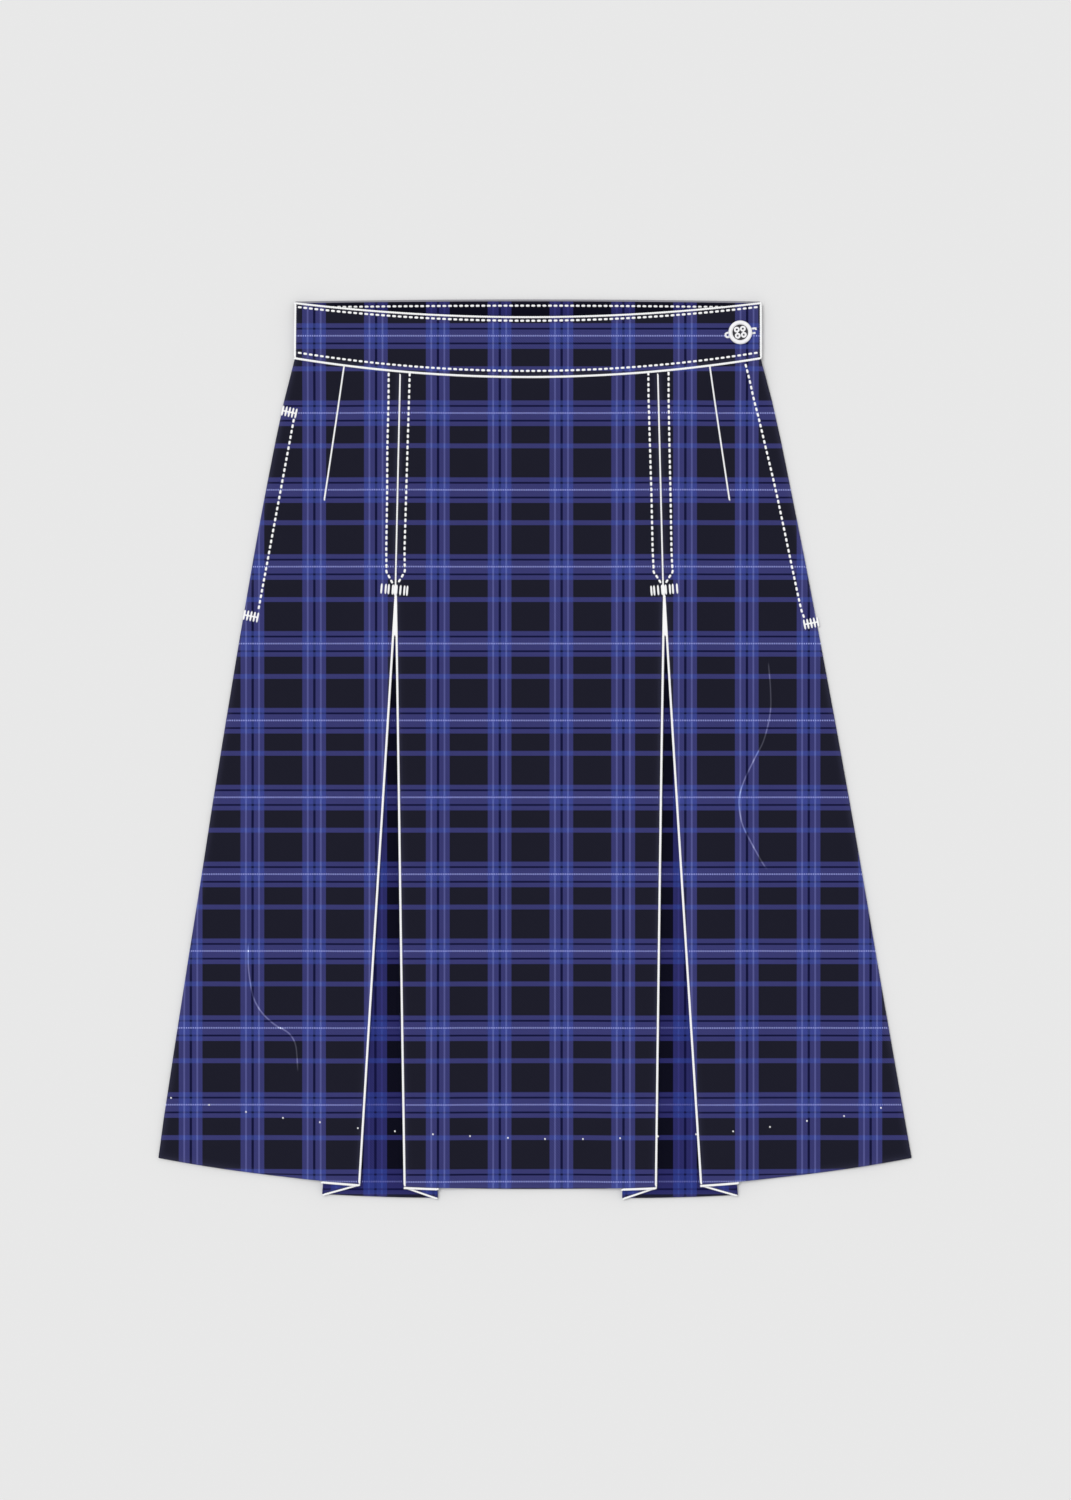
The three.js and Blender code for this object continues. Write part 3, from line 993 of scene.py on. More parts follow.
        light = r.mix(weft, ink(*self.light, self.gloss), ink(*self.light_crossing, self.gloss))
        colour = r.mix(warp_light, colour, light)
        dot = r.math("SINE", r.math("MULTIPLY", across, 2 * math.pi / self.dot_pitch))
        dot = r.math("MULTIPLY_ADD", dot, *self.dot_contrast)
        dot = r.math("MULTIPLY", weft_light, r.math("MINIMUM", r.math("MAXIMUM", dot, 0.0), 1.0))
        colour = r.mix(dot, colour, ink(*self.dots, self.gloss))

        spot = r.place()
        fibre = r.noise(spot, self.fibre_scale, self.noise_detail)
        cloud = r.noise(spot, self.cloud_scale, self.noise_detail)
        shade = r.math("MULTIPLY_ADD", fibre, *self.fibre_shade)
        shade = r.math("MULTIPLY", shade, r.math("MULTIPLY_ADD", cloud, *self.cloud_shade))
        colour = r.mix(1.0, colour, r.grey(shade), "MULTIPLY")
        worn = r.math("MULTIPLY", r.math("MULTIPLY", r.measure("wear"), fibre), self.worn_share)
        colour = r.mix(worn, colour, ink(*self.worn))
        # Painted highlight: along the crest of each pressed crease the colour is multiplied up and a little
        # light is added, in a pale line.
        if self.crease_highlights:
            away = r.math("ABSOLUTE", r.measure("crease"))
            away = r.math("MINIMUM", r.math("MULTIPLY", away, self.crease_highlight_sharpness), 1.0)
            cover = r.math("MULTIPLY", r.measure("crease_highlight_cover"), self.crease_highlight_strength)
            line = r.math("MULTIPLY", r.math("SUBTRACT", 1.0, away), cover)
            lit = r.mix(1.0, colour, self.crease_highlight_gain, "MULTIPLY")
            colour = r.mix(line, colour, r.mix(1.0, lit, self.crease_highlight_lift, "ADD"))
        relief = r.math("ADD", r.math("MULTIPLY_ADD", twill, 0.3, 0.3), r.math("MULTIPLY", fibre, 0.4))
        r.bump(relief, *self.relief)
        return r.finish(colour, r.math("MULTIPLY_ADD", fibre, *self.roughness), self.SHADER)

    def _repeat(self, r: Recipe, place: bpy.types.NodeSocket, repeat: float) -> bpy.types.NodeSocket:
        """Share of the repeat at a place: the place over the repeat, less its whole part."""
        return r.math("FRACT", r.math("DIVIDE", place, repeat))

    def _stops(self, rows: tuple[Stripe, ...], repeat: float) -> list[Stop]:
        """Turn a chart's rows into stops: the tone as red, light thread as green and navy thread as blue."""
        return [(start / repeat, (tone, light, navy)) for start, tone, light, navy in rows]


@dataclass(frozen=True)
class SewingThread:
    """White polyester thread of two plies, twisted.

    Roughness is a factor and what is added to it, and relief a depth in metres and how much of it shows.
    """

    name: str = "sewing thread"
    colour: Colour = (255, 255, 255)
    roughness: tuple[float, float] = (0.15, 0.62)
    shaded: Colour = (150, 150, 170)
    bright: float = 0.90
    ply_shade: float = 0.08
    fluff_shade: float = 0.06
    twist_pitch: float = 1.1
    fluff_scale: float = 4000.0
    relief: tuple[float, float] = (0.00012, 0.4)

    def make(self) -> bpy.types.Material:
        """Build the material on the thread's own map, whose first axis runs along it in millimetres.

        Returns:
            The material.
        """
        r = Recipe(self.name)
        along, around, _ = r.split(r.map("thread"))
        turn = r.math("ADD", r.math("MULTIPLY", along, 2 * math.pi / self.twist_pitch),
                      r.math("MULTIPLY", around, 4 * math.pi))
        ply = r.math("MULTIPLY_ADD", r.math("SINE", turn), 0.5, 0.5)
        fluff = r.noise(r.place(), self.fluff_scale)
        shade = r.math("MULTIPLY_ADD", fluff, self.fluff_shade, self.bright)
        shade = r.math("MULTIPLY_ADD", ply, self.ply_shade, shade)
        colour = r.mix(shade, ink(*self.shaded), ink(*self.colour))
        r.bump(ply, *self.relief)
        rough = r.math("MULTIPLY_ADD", fluff, *self.roughness)
        return r.finish(colour, rough, {"Specular IOR Level": 0.3, "Sheen Weight": 0.05})


@dataclass(frozen=True)
class ButtonPlastic:
    """Polished polyester button, moulded, with a faint cloud in it and fine scratches.

    Cloud and scratch are the scale and the detail of a noise.
    """

    name: str
    colour: Colour
    roughness: float
    scratched: float = 0.16
    darkest: float = 0.88
    cloud: tuple[float, float] = (350.0, 4.0)
    scratch: tuple[float, float] = (5200.0, 2.0)
    relief: tuple[float, float] = (0.00003, 0.3)

    def make(self) -> bpy.types.Material:
        """Build the material.

        Returns:
            The material.
        """
        r = Recipe(self.name)
        cloud = r.noise(r.place(), *self.cloud)
        scratch = r.noise(r.place(), *self.scratch)
        base = ink(*self.colour)
        r.bump(scratch, *self.relief)
        rough = r.math("MULTIPLY_ADD", scratch, self.scratched, self.roughness)
        return r.finish(r.mix(cloud, dimmed(base, self.darkest), base), rough, {"Specular IOR Level": 0.35})


@dataclass(frozen=True)
class PaintedEdgeHighlight:
    """Painted highlight: a pale grey band along the rounded top edge of the back waistband."""

    name: str = "painted edge highlight"
    colour: Colour = (146, 145, 153)
    gloss: float = 0.004
    darkest: float = 0.8
    weave_turn: float = 7000.0
    fibre_scale: float = 1800.0
    roughness: tuple[float, float] = (0.2, 0.7)
    relief: tuple[float, float] = (0.00008, 0.4)

    def make(self) -> bpy.types.Material:
        """Build the material, with a fine cross weave on the piece's cloth map.

        Returns:
            The material.
        """
        r = Recipe(self.name)
        across, down, _ = r.split(r.map("cloth"))
        waves = (r.math("SINE", r.math("MULTIPLY", place, self.weave_turn)) for place in (across, down))
        weave = r.math("MULTIPLY", *waves)
        fibre = r.noise(r.place(), self.fibre_scale)
        base = ink(*self.colour, self.gloss)
        colour = r.mix(r.math("MULTIPLY_ADD", fibre, 0.5, 0.5), dimmed(base, self.darkest), base)
        r.bump(r.math("MULTIPLY_ADD", weave, 0.5, 0.5), *self.relief)
        return r.finish(colour, r.math("MULTIPLY_ADD", fibre, *self.roughness), {"Specular IOR Level": 0.1})


@dataclass(frozen=True)
class PaleFloor:
    """Plain pale paper under the skirt."""

    name: str = "pale floor"
    colour: Colour = (233, 233, 233)
    darkest: float = 0.985
    roughness: float = 0.95
    grain_scale: float = 900.0

    def make(self) -> bpy.types.Material:
        """Build the material, almost even, with a faint grain.

        Returns:
            The material.
        """
        r = Recipe(self.name)
        grain = r.noise(r.place(), self.grain_scale)
        base = ink(*self.colour)
        colour = r.mix(grain, dimmed(base, self.darkest), base)
        return r.finish(colour, self.roughness, {"Specular IOR Level": 0.0})


@dataclass(frozen=True)
class Finishes:
    """All finishes of the skirt, each built once."""

    front: bpy.types.Material
    plain: bpy.types.Material
    # Darker plaid: painted shade for cloth that lies in shade
    inside: bpy.types.Material
    thread: bpy.types.Material
    rim: bpy.types.Material
    dish: bpy.types.Material
    # Painted highlight along the top edge of the back waistband
    edge: bpy.types.Material

    @classmethod
    def make(cls) -> "Finishes":
        """Build every finish.

        Returns:
            The set.
        """
        # Painted shade: a darker copy of the plaid for cloth that lies in shade, in the open pleats, under
        # the turned edges of the front and on the inside of the back waistband.
        inside = PlaidTwill(
            "plaid twill inside", ground=(13, 13, 27), single=(45, 44, 100), double=(47, 57, 131),
            light=(52, 52, 116), light_crossing=(55, 69, 145), navy=(18, 19, 60), navy_crossing=(39, 48, 113),
            dots=(120, 124, 190), gloss=0.0034,
        )
        return cls(
            front=PlaidTwill("plaid twill front", crease_highlights=True).make(),
            plain=PlaidTwill("plaid twill").make(),
            inside=inside.make(),
            thread=SewingThread().make(),
            rim=ButtonPlastic("button rim", (252, 252, 254), 0.3).make(),
            dish=ButtonPlastic("button dish", (22, 22, 32), 0.35).make(),
            edge=PaintedEdgeHighlight().make(),
        )


def settle(piece: bpy.types.Object, slot: str, *nodes: str) -> bpy.types.Object:
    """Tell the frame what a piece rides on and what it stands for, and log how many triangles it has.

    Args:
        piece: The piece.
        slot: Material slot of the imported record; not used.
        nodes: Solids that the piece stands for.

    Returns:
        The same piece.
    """
    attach(piece, "root")
    if nodes:
        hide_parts(*nodes)
    triangles = sum(len(polygon.vertices) - 2 for polygon in piece.data.polygons)
    log.info("%s: %d triangles", piece.name, triangles)
    return piece


# Cloth panels

@dataclass(frozen=True)
class FrontPanels:
    """The three parts of the front, each turned under at the pleats."""

    surface: FrontSurface
    row_step: float = 3.0
    column_step: float = 2.6
    bend_radius: float = 0.65
    bend_steps: int = 7
    turned_columns: int = 8
    clear_of_underlay: float = 0.15
    bend_ease: float = 3.0
    side_width: float = 150.0
    centre_width: float = 186.0
    wear_width: float = 2.6
    crease_highlight_fade: float = 5.0
    dip_length: float = 6.0

    @property
    def cut(self) -> SkirtCut:
        """The cut that the panels follow."""
        return self.surface.cut

    @property
    def fold_reach(self) -> float:
        """Distance from the bend's centre to the outside of the fold."""
        return self.bend_radius + self.cut.cloth / 2

    def rows(self) -> Array:
        """Rows of the front as a column of numbers, with one where the pleats open.

        Returns:
            The rows.
        """
        opens = self.cut.opens_row
        above = math.ceil(opens * self.cut.height / self.row_step)
        below = math.ceil((1 - opens) * self.cut.height / self.row_step)
        sewn, open_rows = np.linspace(0, opens, above, endpoint=False), np.linspace(opens, 1, below + 1)
        return np.concatenate([sewn, open_rows])[:, None]

    def face_up(self, start: Array, end: Array, columns: int) -> Span:
        """Spread points over the part that faces up.

        Args:
            start: Left end of each row.
            end: Right end of each row.
            columns: Steps between them.

        Returns:
            Middle points, and their place on the cloth.
        """
        row = self.rows()
        x = lerp(start, end, np.linspace(0, 1, columns + 1)[None, :])
        y = self.cut.front_y(x, row)
        z = self.surface.middle(x, y, row)
        return np.stack([x, y, z], axis=-1), np.stack([x, y], axis=-1)

    def turned_under(self, fold: Array, inner: Array, peek: float, toward: int) -> Span:
        """Bend a panel's edge under in a half circle, and run it back to its inner edge.

        Where a sewn channel presses the fold down, the bend is squashed and stays clear of the underlay.

        Args:
            fold: Folded edge at each row.
            inner: Inner edge at each row.
            peek: How far the inner corner reaches below the hem.
            toward: -1 where it runs back to the left, and +1 to the right.

        Returns:
            Middle points from the bend to the inner edge, and their place on the cloth, which runs on past
            the fold.
        """
        row = self.rows()
        centre = fold + toward * self.fold_reach
        y = self.cut.front_y(centre, row)
        top = self.surface.middle(centre, y, row)
        angle = np.linspace(0, math.pi, self.bend_steps + 1)[None, 1:-1]
        bend_x = centre - toward * self.bend_radius * np.sin(angle)
        lowest = self.cut.front_mid + self.cut.cloth + self.clear_of_underlay
        low = np.maximum(top - 2 * self.bend_radius, lowest)
        bend_z = lerp(top, low, (1 - np.cos(angle)) / 2)
        bend_y = np.broadcast_to(y, bend_x.shape)
        part = np.linspace(0, 1, self.turned_columns + 1)[None, :]
        back_x = lerp(centre, inner, part)
        back_y = self.cut.front_y(back_x, row) - peek * row * part
        plain = self.surface.turned_mid(back_x, back_y, row)
        carried = (low - plain[:, :1]) * np.exp(-self.bend_ease * part)
        points = np.concatenate([
            np.stack([bend_x, bend_y, bend_z], axis=-1),
            np.stack([back_x, back_y, plain + carried], axis=-1),
        ], axis=1)
        bend_length = self.bend_radius * np.concatenate([angle, np.full((1, 1), math.pi)], axis=1)
        along = np.concatenate([
            np.broadcast_to(bend_length[:, :-1], bend_x.shape),
            bend_length[:, -1:] + np.abs(back_x - centre),
        ], axis=1)
        cloth = np.stack([centre - toward * along, points[..., 1]], axis=-1)
        return points, cloth

    def shell(self, pieces: list[Span], turned: list[bool]) -> ClothShell:
        """Join the spans of a section, left to right along the cloth.

        Args:
            pieces: Middle points and cloth places of each span.
            turned: Whether each span is turned under.

        Returns:
            The wall of cloth.
        """
        middle = np.concatenate([points for points, _ in pieces], axis=1)
        cloth = np.concatenate([places for _, places in pieces], axis=1)
        zones = np.concatenate([
            np.full(points.shape[1], 1.0 if under else 0.0) for (points, _), under in zip(pieces, turned)
        ])
        row = self.rows()
        left, right = self.cut.sides(row)
        sides = np.minimum(middle[..., 0] - left, right - middle[..., 0])
        folds = np.full(sides.shape, 1e3)
        for pleat in self.cut.pleats:
            for edge in self.cut.pleat_edges(pleat, row)[:2]:
                folds = np.minimum(folds, np.abs(middle[..., 0] - edge))
        hem = (1 - row) * self.cut.height
        wear = bell(np.minimum(np.minimum(sides, folds), hem), self.wear_width)
        away, cover = self.creases(middle[..., 0], middle[..., 1])
        # The painted highlight along the creases is kept off the turned-under parts.
        extra = {"crease": away, "crease_highlight_cover": cover * (1 - zones[None, :])}
        half = np.full(middle.shape[:2], self.cut.cloth / 2)
        return ClothShell(middle, half, cloth, self.cut.cloth / 2, zones, wear, extra)

    def creases(self, x: Array, y: Array) -> tuple[Array, Array]:
        """Measure each point against the nearer pressed crease.

        Args:
            x: Place across the skirt.
            y: Place along the skirt.

        Returns:
            Distance to the crease, negative on its right, and the cover of the painted highlight along it,
            which fades at both ends.
        """
        found = [along_line(x, y, rounded_line(line)) for line in self.surface.lines.creases]
        (side_a, run_a, length_a), (side_b, run_b, length_b) = found
        nearer = np.abs(side_a) < np.abs(side_b)
        away = np.where(nearer, side_a, side_b)
        run = np.where(nearer, run_a, run_b)
        left = np.where(nearer, length_a, length_b) - run
        return away, smooth(run / self.crease_highlight_fade) * smooth(left / self.crease_highlight_fade)

    def dress(self, finishes: Finishes) -> list[bpy.types.Object]:
        """Build the three parts of the front.

        Args:
            finishes: All finishes.

        Returns:
            Left, centre and right part.
        """
        row = self.rows()
        left_pleat, right_pleat = self.cut.pleats
        left, right = self.cut.sides(row)
        a_left, a_right, a_under_left, a_under_right = self.cut.pleat_edges(left_pleat, row)
        b_left, b_right, b_under_left, b_under_right = self.cut.pleat_edges(right_pleat, row)
        reach = self.fold_reach

        def backwards(span: Span) -> Span:
            """Run a span from its other end."""
            return span[0][:, ::-1], span[1][:, ::-1]

        side_columns = round(self.side_width / self.column_step)
        centre_columns = round(self.centre_width / self.column_step)
        shells = {
            "front_left": self.shell([
                self.face_up(left, a_left - reach, side_columns),
                self.turned_under(a_left, a_under_left, left_pleat.peek[0], -1),
            ], [False, True]),
            "front_centre": self.shell([
                backwards(self.turned_under(a_right, a_under_right, left_pleat.peek[1], 1)),
                self.face_up(a_right + reach, b_left - reach, centre_columns),
                self.turned_under(b_left, b_under_left, right_pleat.peek[0], -1),
            ], [True, False, True]),
            "front_right": self.shell([
                backwards(self.turned_under(b_right, b_under_right, right_pleat.peek[1], 1)),
                self.face_up(b_right + reach, right, side_columns),
            ], [True, False]),
        }
        made = []
        for name, shell in shells.items():
            # Turned-under parts take the darker plaid of painted shade.
            piece = shell.part().build(name + "_cloth", [finishes.front, finishes.inside])
            settle(piece, "plaid_cloth", name)
            length = (self.cut.height + self.dip_length) * MM
            shell.area()
            made.append(piece)
        return made


@dataclass(frozen=True)
class Underlays:
    """The cloth that shows in the open pleats, flat on the back."""

    surface: FrontSurface
    row_step: float = 4.0
    columns: int = 30
    plaid_shifts: tuple[float, float] = (0.6, 0.0)
    softness: float = 0.5
    soft_from_opening: float = 4.0
    wave_share: float = 1.7
    wear_width: float = 2.0
    dip_length: float = 12.0

    def dress(self, finishes: Finishes) -> None:
        """Build both underlays, whose low edge follows the corners of the turned edges.

        Args:
            finishes: All finishes.
        """
        cut = self.surface.cut
        row = np.linspace(0, 1, round(cut.height / self.row_step) + 1)[:, None]
        for pleat, shift in zip(cut.pleats, self.plaid_shifts):
            _, _, left, right = cut.pleat_edges(pleat, row)
            part = np.linspace(0, 1, self.columns + 1)[None, :]
            x = lerp(left, right, part)
            y = cut.front_y(x, row) - lerp(pleat.peek[0], pleat.peek[1], part) * row
            below = smooth((row - cut.opens_row) * self.soft_from_opening)
            opened = below * np.sin(math.pi * part)
            soft = self.softness * self.surface.unevenness(x * self.wave_share, y)
            z = cut.front_mid + soft * opened
            cloth = np.stack([x + shift, y], axis=-1)
            half = np.full(x.shape, cut.cloth / 2)
            wear = np.broadcast_to(bell((1 - row) * cut.height, self.wear_width), x.shape)
            shell = ClothShell(np.stack([x, y, z], axis=-1), half, cloth, cut.cloth / 2, None, wear)
            name = "pleat_underlay_" + pleat.side
            # The underlays take the darker plaid of painted shade.
            piece = settle(shell.part().build(name + "_cloth", [finishes.inside]), "underlay_cloth", name)


@dataclass(frozen=True)
class BackPanel:
    """The back, one plain layer on the surface, with shallow hollows under the folds of the front."""

    surface: FrontSurface
    row_step: float = 5.0
    column_step: float = 5.0
    hollow_share: float = 0.4
    fold_floor: float = 0.15
    hem_recess: float = 0.35
    recess_width: float = 3.6
    recess_stretch: float = 1.3
    pick_count: int = 20
    pick_reach: float = 262.0
    picks_above_hem: float = 44.0
    width: float = 556.0
    wear_width: float = 2.6
    dip_length: float = 2.0

    def hem_picks(self) -> Array:
        """Places of the small stitches that hold the back's hem.

        Returns:
            The places, one row each.
        """
        x = np.linspace(-self.pick_reach, self.pick_reach, self.pick_count)
        row = np.full(x.shape, 1 - self.picks_above_hem / self.surface.cut.height)
        return np.stack([x, self.surface.cut.back_y(x, row)], axis=-1)

    def underside(self, x: Array, y: Array) -> Array:
        """Height of the face that lies down: 0, but for hollows and small recesses at the hem stitches.

        Args:
            x: Place across the skirt.
            y: Place along the skirt.

        Returns:
            Height of the face.
        """
        hollow = self.hollow(x, y)
        for px, py in self.hem_picks():
            away = np.hypot((x - px) / self.recess_stretch, y - py)
            hollow = hollow + self.hem_recess * bell(away, self.recess_width)
        return hollow

    def hollow(self, x: Array, y: Array) -> Array:
        """Share of the front's folds that the back follows, where they are high enough."""
        return self.hollow_share * np.maximum(self.surface.cut.soft_folds(x, y) - self.fold_floor, 0.0)

    def dress(self, finishes: Finishes) -> None:
        """Build the back.

        Args:
            finishes: All finishes.
        """
        cut = self.surface.cut
        row = np.linspace(0, 1, round(cut.height / self.row_step) + 1)[:, None]
        left, right = cut.sides(row)
        columns = round(self.width / self.column_step)
        x = lerp(left, right, np.linspace(0, 1, columns + 1)[None, :])
        y = cut.back_y(x, row)
        low = self.underside(x, y)
        high = cut.cloth + self.hollow(x, y)
        middle = np.stack([x, y, (low + high) / 2], axis=-1)
        inset = np.minimum(np.minimum(x - left, right - x), (1 - row) * cut.height)
        wear = bell(inset, self.wear_width)
        cloth = np.stack([x, y], axis=-1)
        shell = ClothShell(middle, (high - low) / 2, cloth, cut.cloth / 2, None, wear)
        piece = settle(shell.part().build("back_panel_cloth", [finishes.plain]), "plaid_cloth", "back_panel")


# Waistband

@dataclass(frozen=True)
class WaistbandHalf:
    """One half of the folded waistband: its lines, the height it lies at and the channels sewn in it.

    Channels are given by their distance from the upper and from the lower edge, and two zeros stand for none.
    """

    name: str
    top_y: float
    top_drop: float
    bottom_drop: float
    floor: float
    channels_up: tuple[float, float]
    channels_down: tuple[float, float] = (0.0, 0.0)
    left: float = -177.6
    right: float = 166.9
    waist_y: float = 289.2
    thick: float = 2.3
    puff: float = 0.22
    channel_depth: float = 0.5
    channel_width: float = 1.5
    column_step: float = 2.4
    puff_power: float = 0.6
    pucker_share: float = 0.25
    pucker_wave: float = 8.24
    wave_height: float = 0.07
    wave_lengths: tuple[float, float] = (17.0, 41.0)
    edge_rows: tuple[float, ...] = (0.0, 1.5, 2.1, 2.7, 3.2, 3.8, 4.5, 5.3, 6.2, 7.4, 9.0)
    centre_steps: int = 9
    edge_reach: float = 0.9
    wear_width: float = 2.2
    edge_highlight_width: float = 1.5
    line_points: int = 90

    def curve(self, x: Array) -> Array:
        """Share of the dip at a place: 1 in the middle of the band and 0 at its ends."""
        half = (self.right - self.left) / 2
        return 1 - ((x - (self.left + self.right) / 2) / half) ** 2

    def top_line(self, x: Array) -> Array:
        """Upper edge of the band."""
        return self.top_y - self.top_drop * self.curve(x)

    def bottom_line(self, x: Array) -> Array:
        """Lower edge of the band, at the waist seam."""
        return self.waist_y - self.bottom_drop * self.curve(x)

    def line_at(
        self, from_top: float | None = None, from_bottom: float | None = None, ends: float = 0.0
    ) -> Array:
        """Run a line along the band.

        Args:
            from_top: Distance below the upper edge, if measured from it.
            from_bottom: Distance above the lower edge, if measured from it.
            ends: Length left free at both ends.

        Returns:
            Points of the line.
        """
        x = np.linspace(self.left + ends, self.right - ends, self.line_points)
        if from_top is not None:
            y = self.top_line(x) - from_top
        else:
            y = self.bottom_line(x) + (from_bottom or 0.0)
        return np.stack([x, y], axis=-1)

    def sewn(self, x: Array, y: Array, channels: tuple[float, float]) -> Array:
        """Depth of the channels at a place, a bell across each, a little deeper between stitches.

        Args:
            x: Place across the skirt.
            y: Place along the skirt.
            channels: The channels of one face.

        Returns:
            Depth at each place.
        """
        if not any(channels):
            return np.zeros(np.shape(x))
        pucker = 1 + self.pucker_share * np.cos(x * 2 * math.pi / self.pucker_wave)
        from_top = bell(self.top_line(x) - y - channels[0], self.channel_width)
        from_bottom = bell(y - self.bottom_line(x) - channels[1], self.channel_width)
        return self.channel_depth * pucker * (from_top + from_bottom)

    def upper(self, x: Array, y: Array) -> Array:
        """Height of the face that looks up: the thickness and a soft fullness, less the channels.

        Args:
            x: Place across the skirt.
            y: Place along the skirt.

        Returns:
            Height of the face.
        """
        part = (self.top_line(x) - y) / (self.top_line(x) - self.bottom_line(x))
        swell = np.sin(math.pi * np.clip(part, 0, 1))
        full = self.puff * swell**self.puff_power
        short, long = self.wave_lengths
        wave = self.wave_height * np.sin(x / short + 1.0) * np.sin(x / long) * swell
        return self.floor + self.thick + full + wave - self.sewn(x, y, self.channels_up)

    def lower(self, x: Array, y: Array) -> Array:
        """Height of the face that looks down, flat but for its channels."""
        return self.floor + self.sewn(x, y, self.channels_down)

    def dress(self, finishes: list[bpy.types.Material], zones_up: bool) -> bpy.types.Object:
        """Build the half band on rows that are close together at its edges and channels.

        Args:
            finishes: Finish of the faces that look down, that look up, and of the painted highlight along the
                upper edge.
            zones_up: Whether the faces that look up and the painted highlight along the upper edge have
                finishes of their own.

        Returns:
            The piece.
        """
        columns = round((self.right - self.left) / self.column_step)
        x = np.linspace(self.left, self.right, columns + 1)[None, :]
        near = np.array(self.edge_rows)
        height = self.top_line(x) - self.bottom_line(x)
        part = np.linspace(0, 1, self.centre_steps + 1)[1:-1, None]
        centre = lerp(near[-1], height - near[-1], part)
        near_top = np.broadcast_to(near[:, None], (len(near), x.size))
        down = np.concatenate([near_top, centre, height - near[::-1, None]])
        xs = np.broadcast_to(x, down.shape)
        y = self.top_line(x) - down
        high, low = self.upper(xs, y), self.lower(xs, y)
        middle = np.stack([xs, y, (high + low) / 2], axis=-1)
        ends = np.minimum(xs - self.left, self.right - xs)
        wear = bell(np.minimum(np.minimum(down, height - down), ends), self.wear_width)
        cloth = np.stack([xs, y], axis=-1)
        shell = ClothShell(middle, (high - low) / 2, cloth, self.edge_reach, None, wear)
        wall = shell.part()
        if zones_up:
            quads = np.concatenate(wall.faces)
            spots = wall.points[quads].mean(axis=1)
            centre_height = (self.floor + self.thick) / 2
            top = self.top_line(spots[:, 0]) - spots[:, 1]
            # Faces that look up take the second finish; on the back band that is the darker plaid of painted
            # shade.
            zone = np.where(spots[:, 2] > centre_height, 1, 0)
            # A strip along the top edge takes the third finish, on the back band the painted highlight.
            wall.zones = [np.where(top < self.edge_highlight_width, 2, zone)]
        piece = settle(wall.build(self.name + "_cloth", finishes), "band_cloth", self.name)
        return piece


# Sewing

@dataclass(frozen=True)
class StitchSize:
    """How one kind of stitch repeats and how big its thread shows."""

    pitch: float
    length: float
    width: float
    height: float
    lengthwise: int
    around: int
    turn: float = 0.0


class Stitch(Enum):
    """The kinds of stitch on the skirt."""

    TOP = StitchSize(4.12, 3.05, 1.65, 0.75, 9, 10)
    EDGE = StitchSize(1.7, 3.4, 1.5, 0.85, 7, 8, 14.0)
    FINE_EDGE = StitchSize(1.7, 3.2, 1.3, 0.7, 7, 8, 12.0)
    SEAM = StitchSize(1.6, 2.9, 1.1, 0.65, 7, 8, 11.0)
    TACK = StitchSize(2.6, 7.8, 1.5, 0.9, 9, 8)
    TACK_LINK = StitchSize(2.6, 2.8, 1.3, 0.8, 5, 6)
    PICK = StitchSize(1.0, 1.5, 1.1, 0.6, 5, 6)
    SATIN = StitchSize(0.85, 1.8, 1.1, 0.75, 5, 6)
    HELD = StitchSize(1.0, 3.1, 0.95, 0.9, 9, 8)


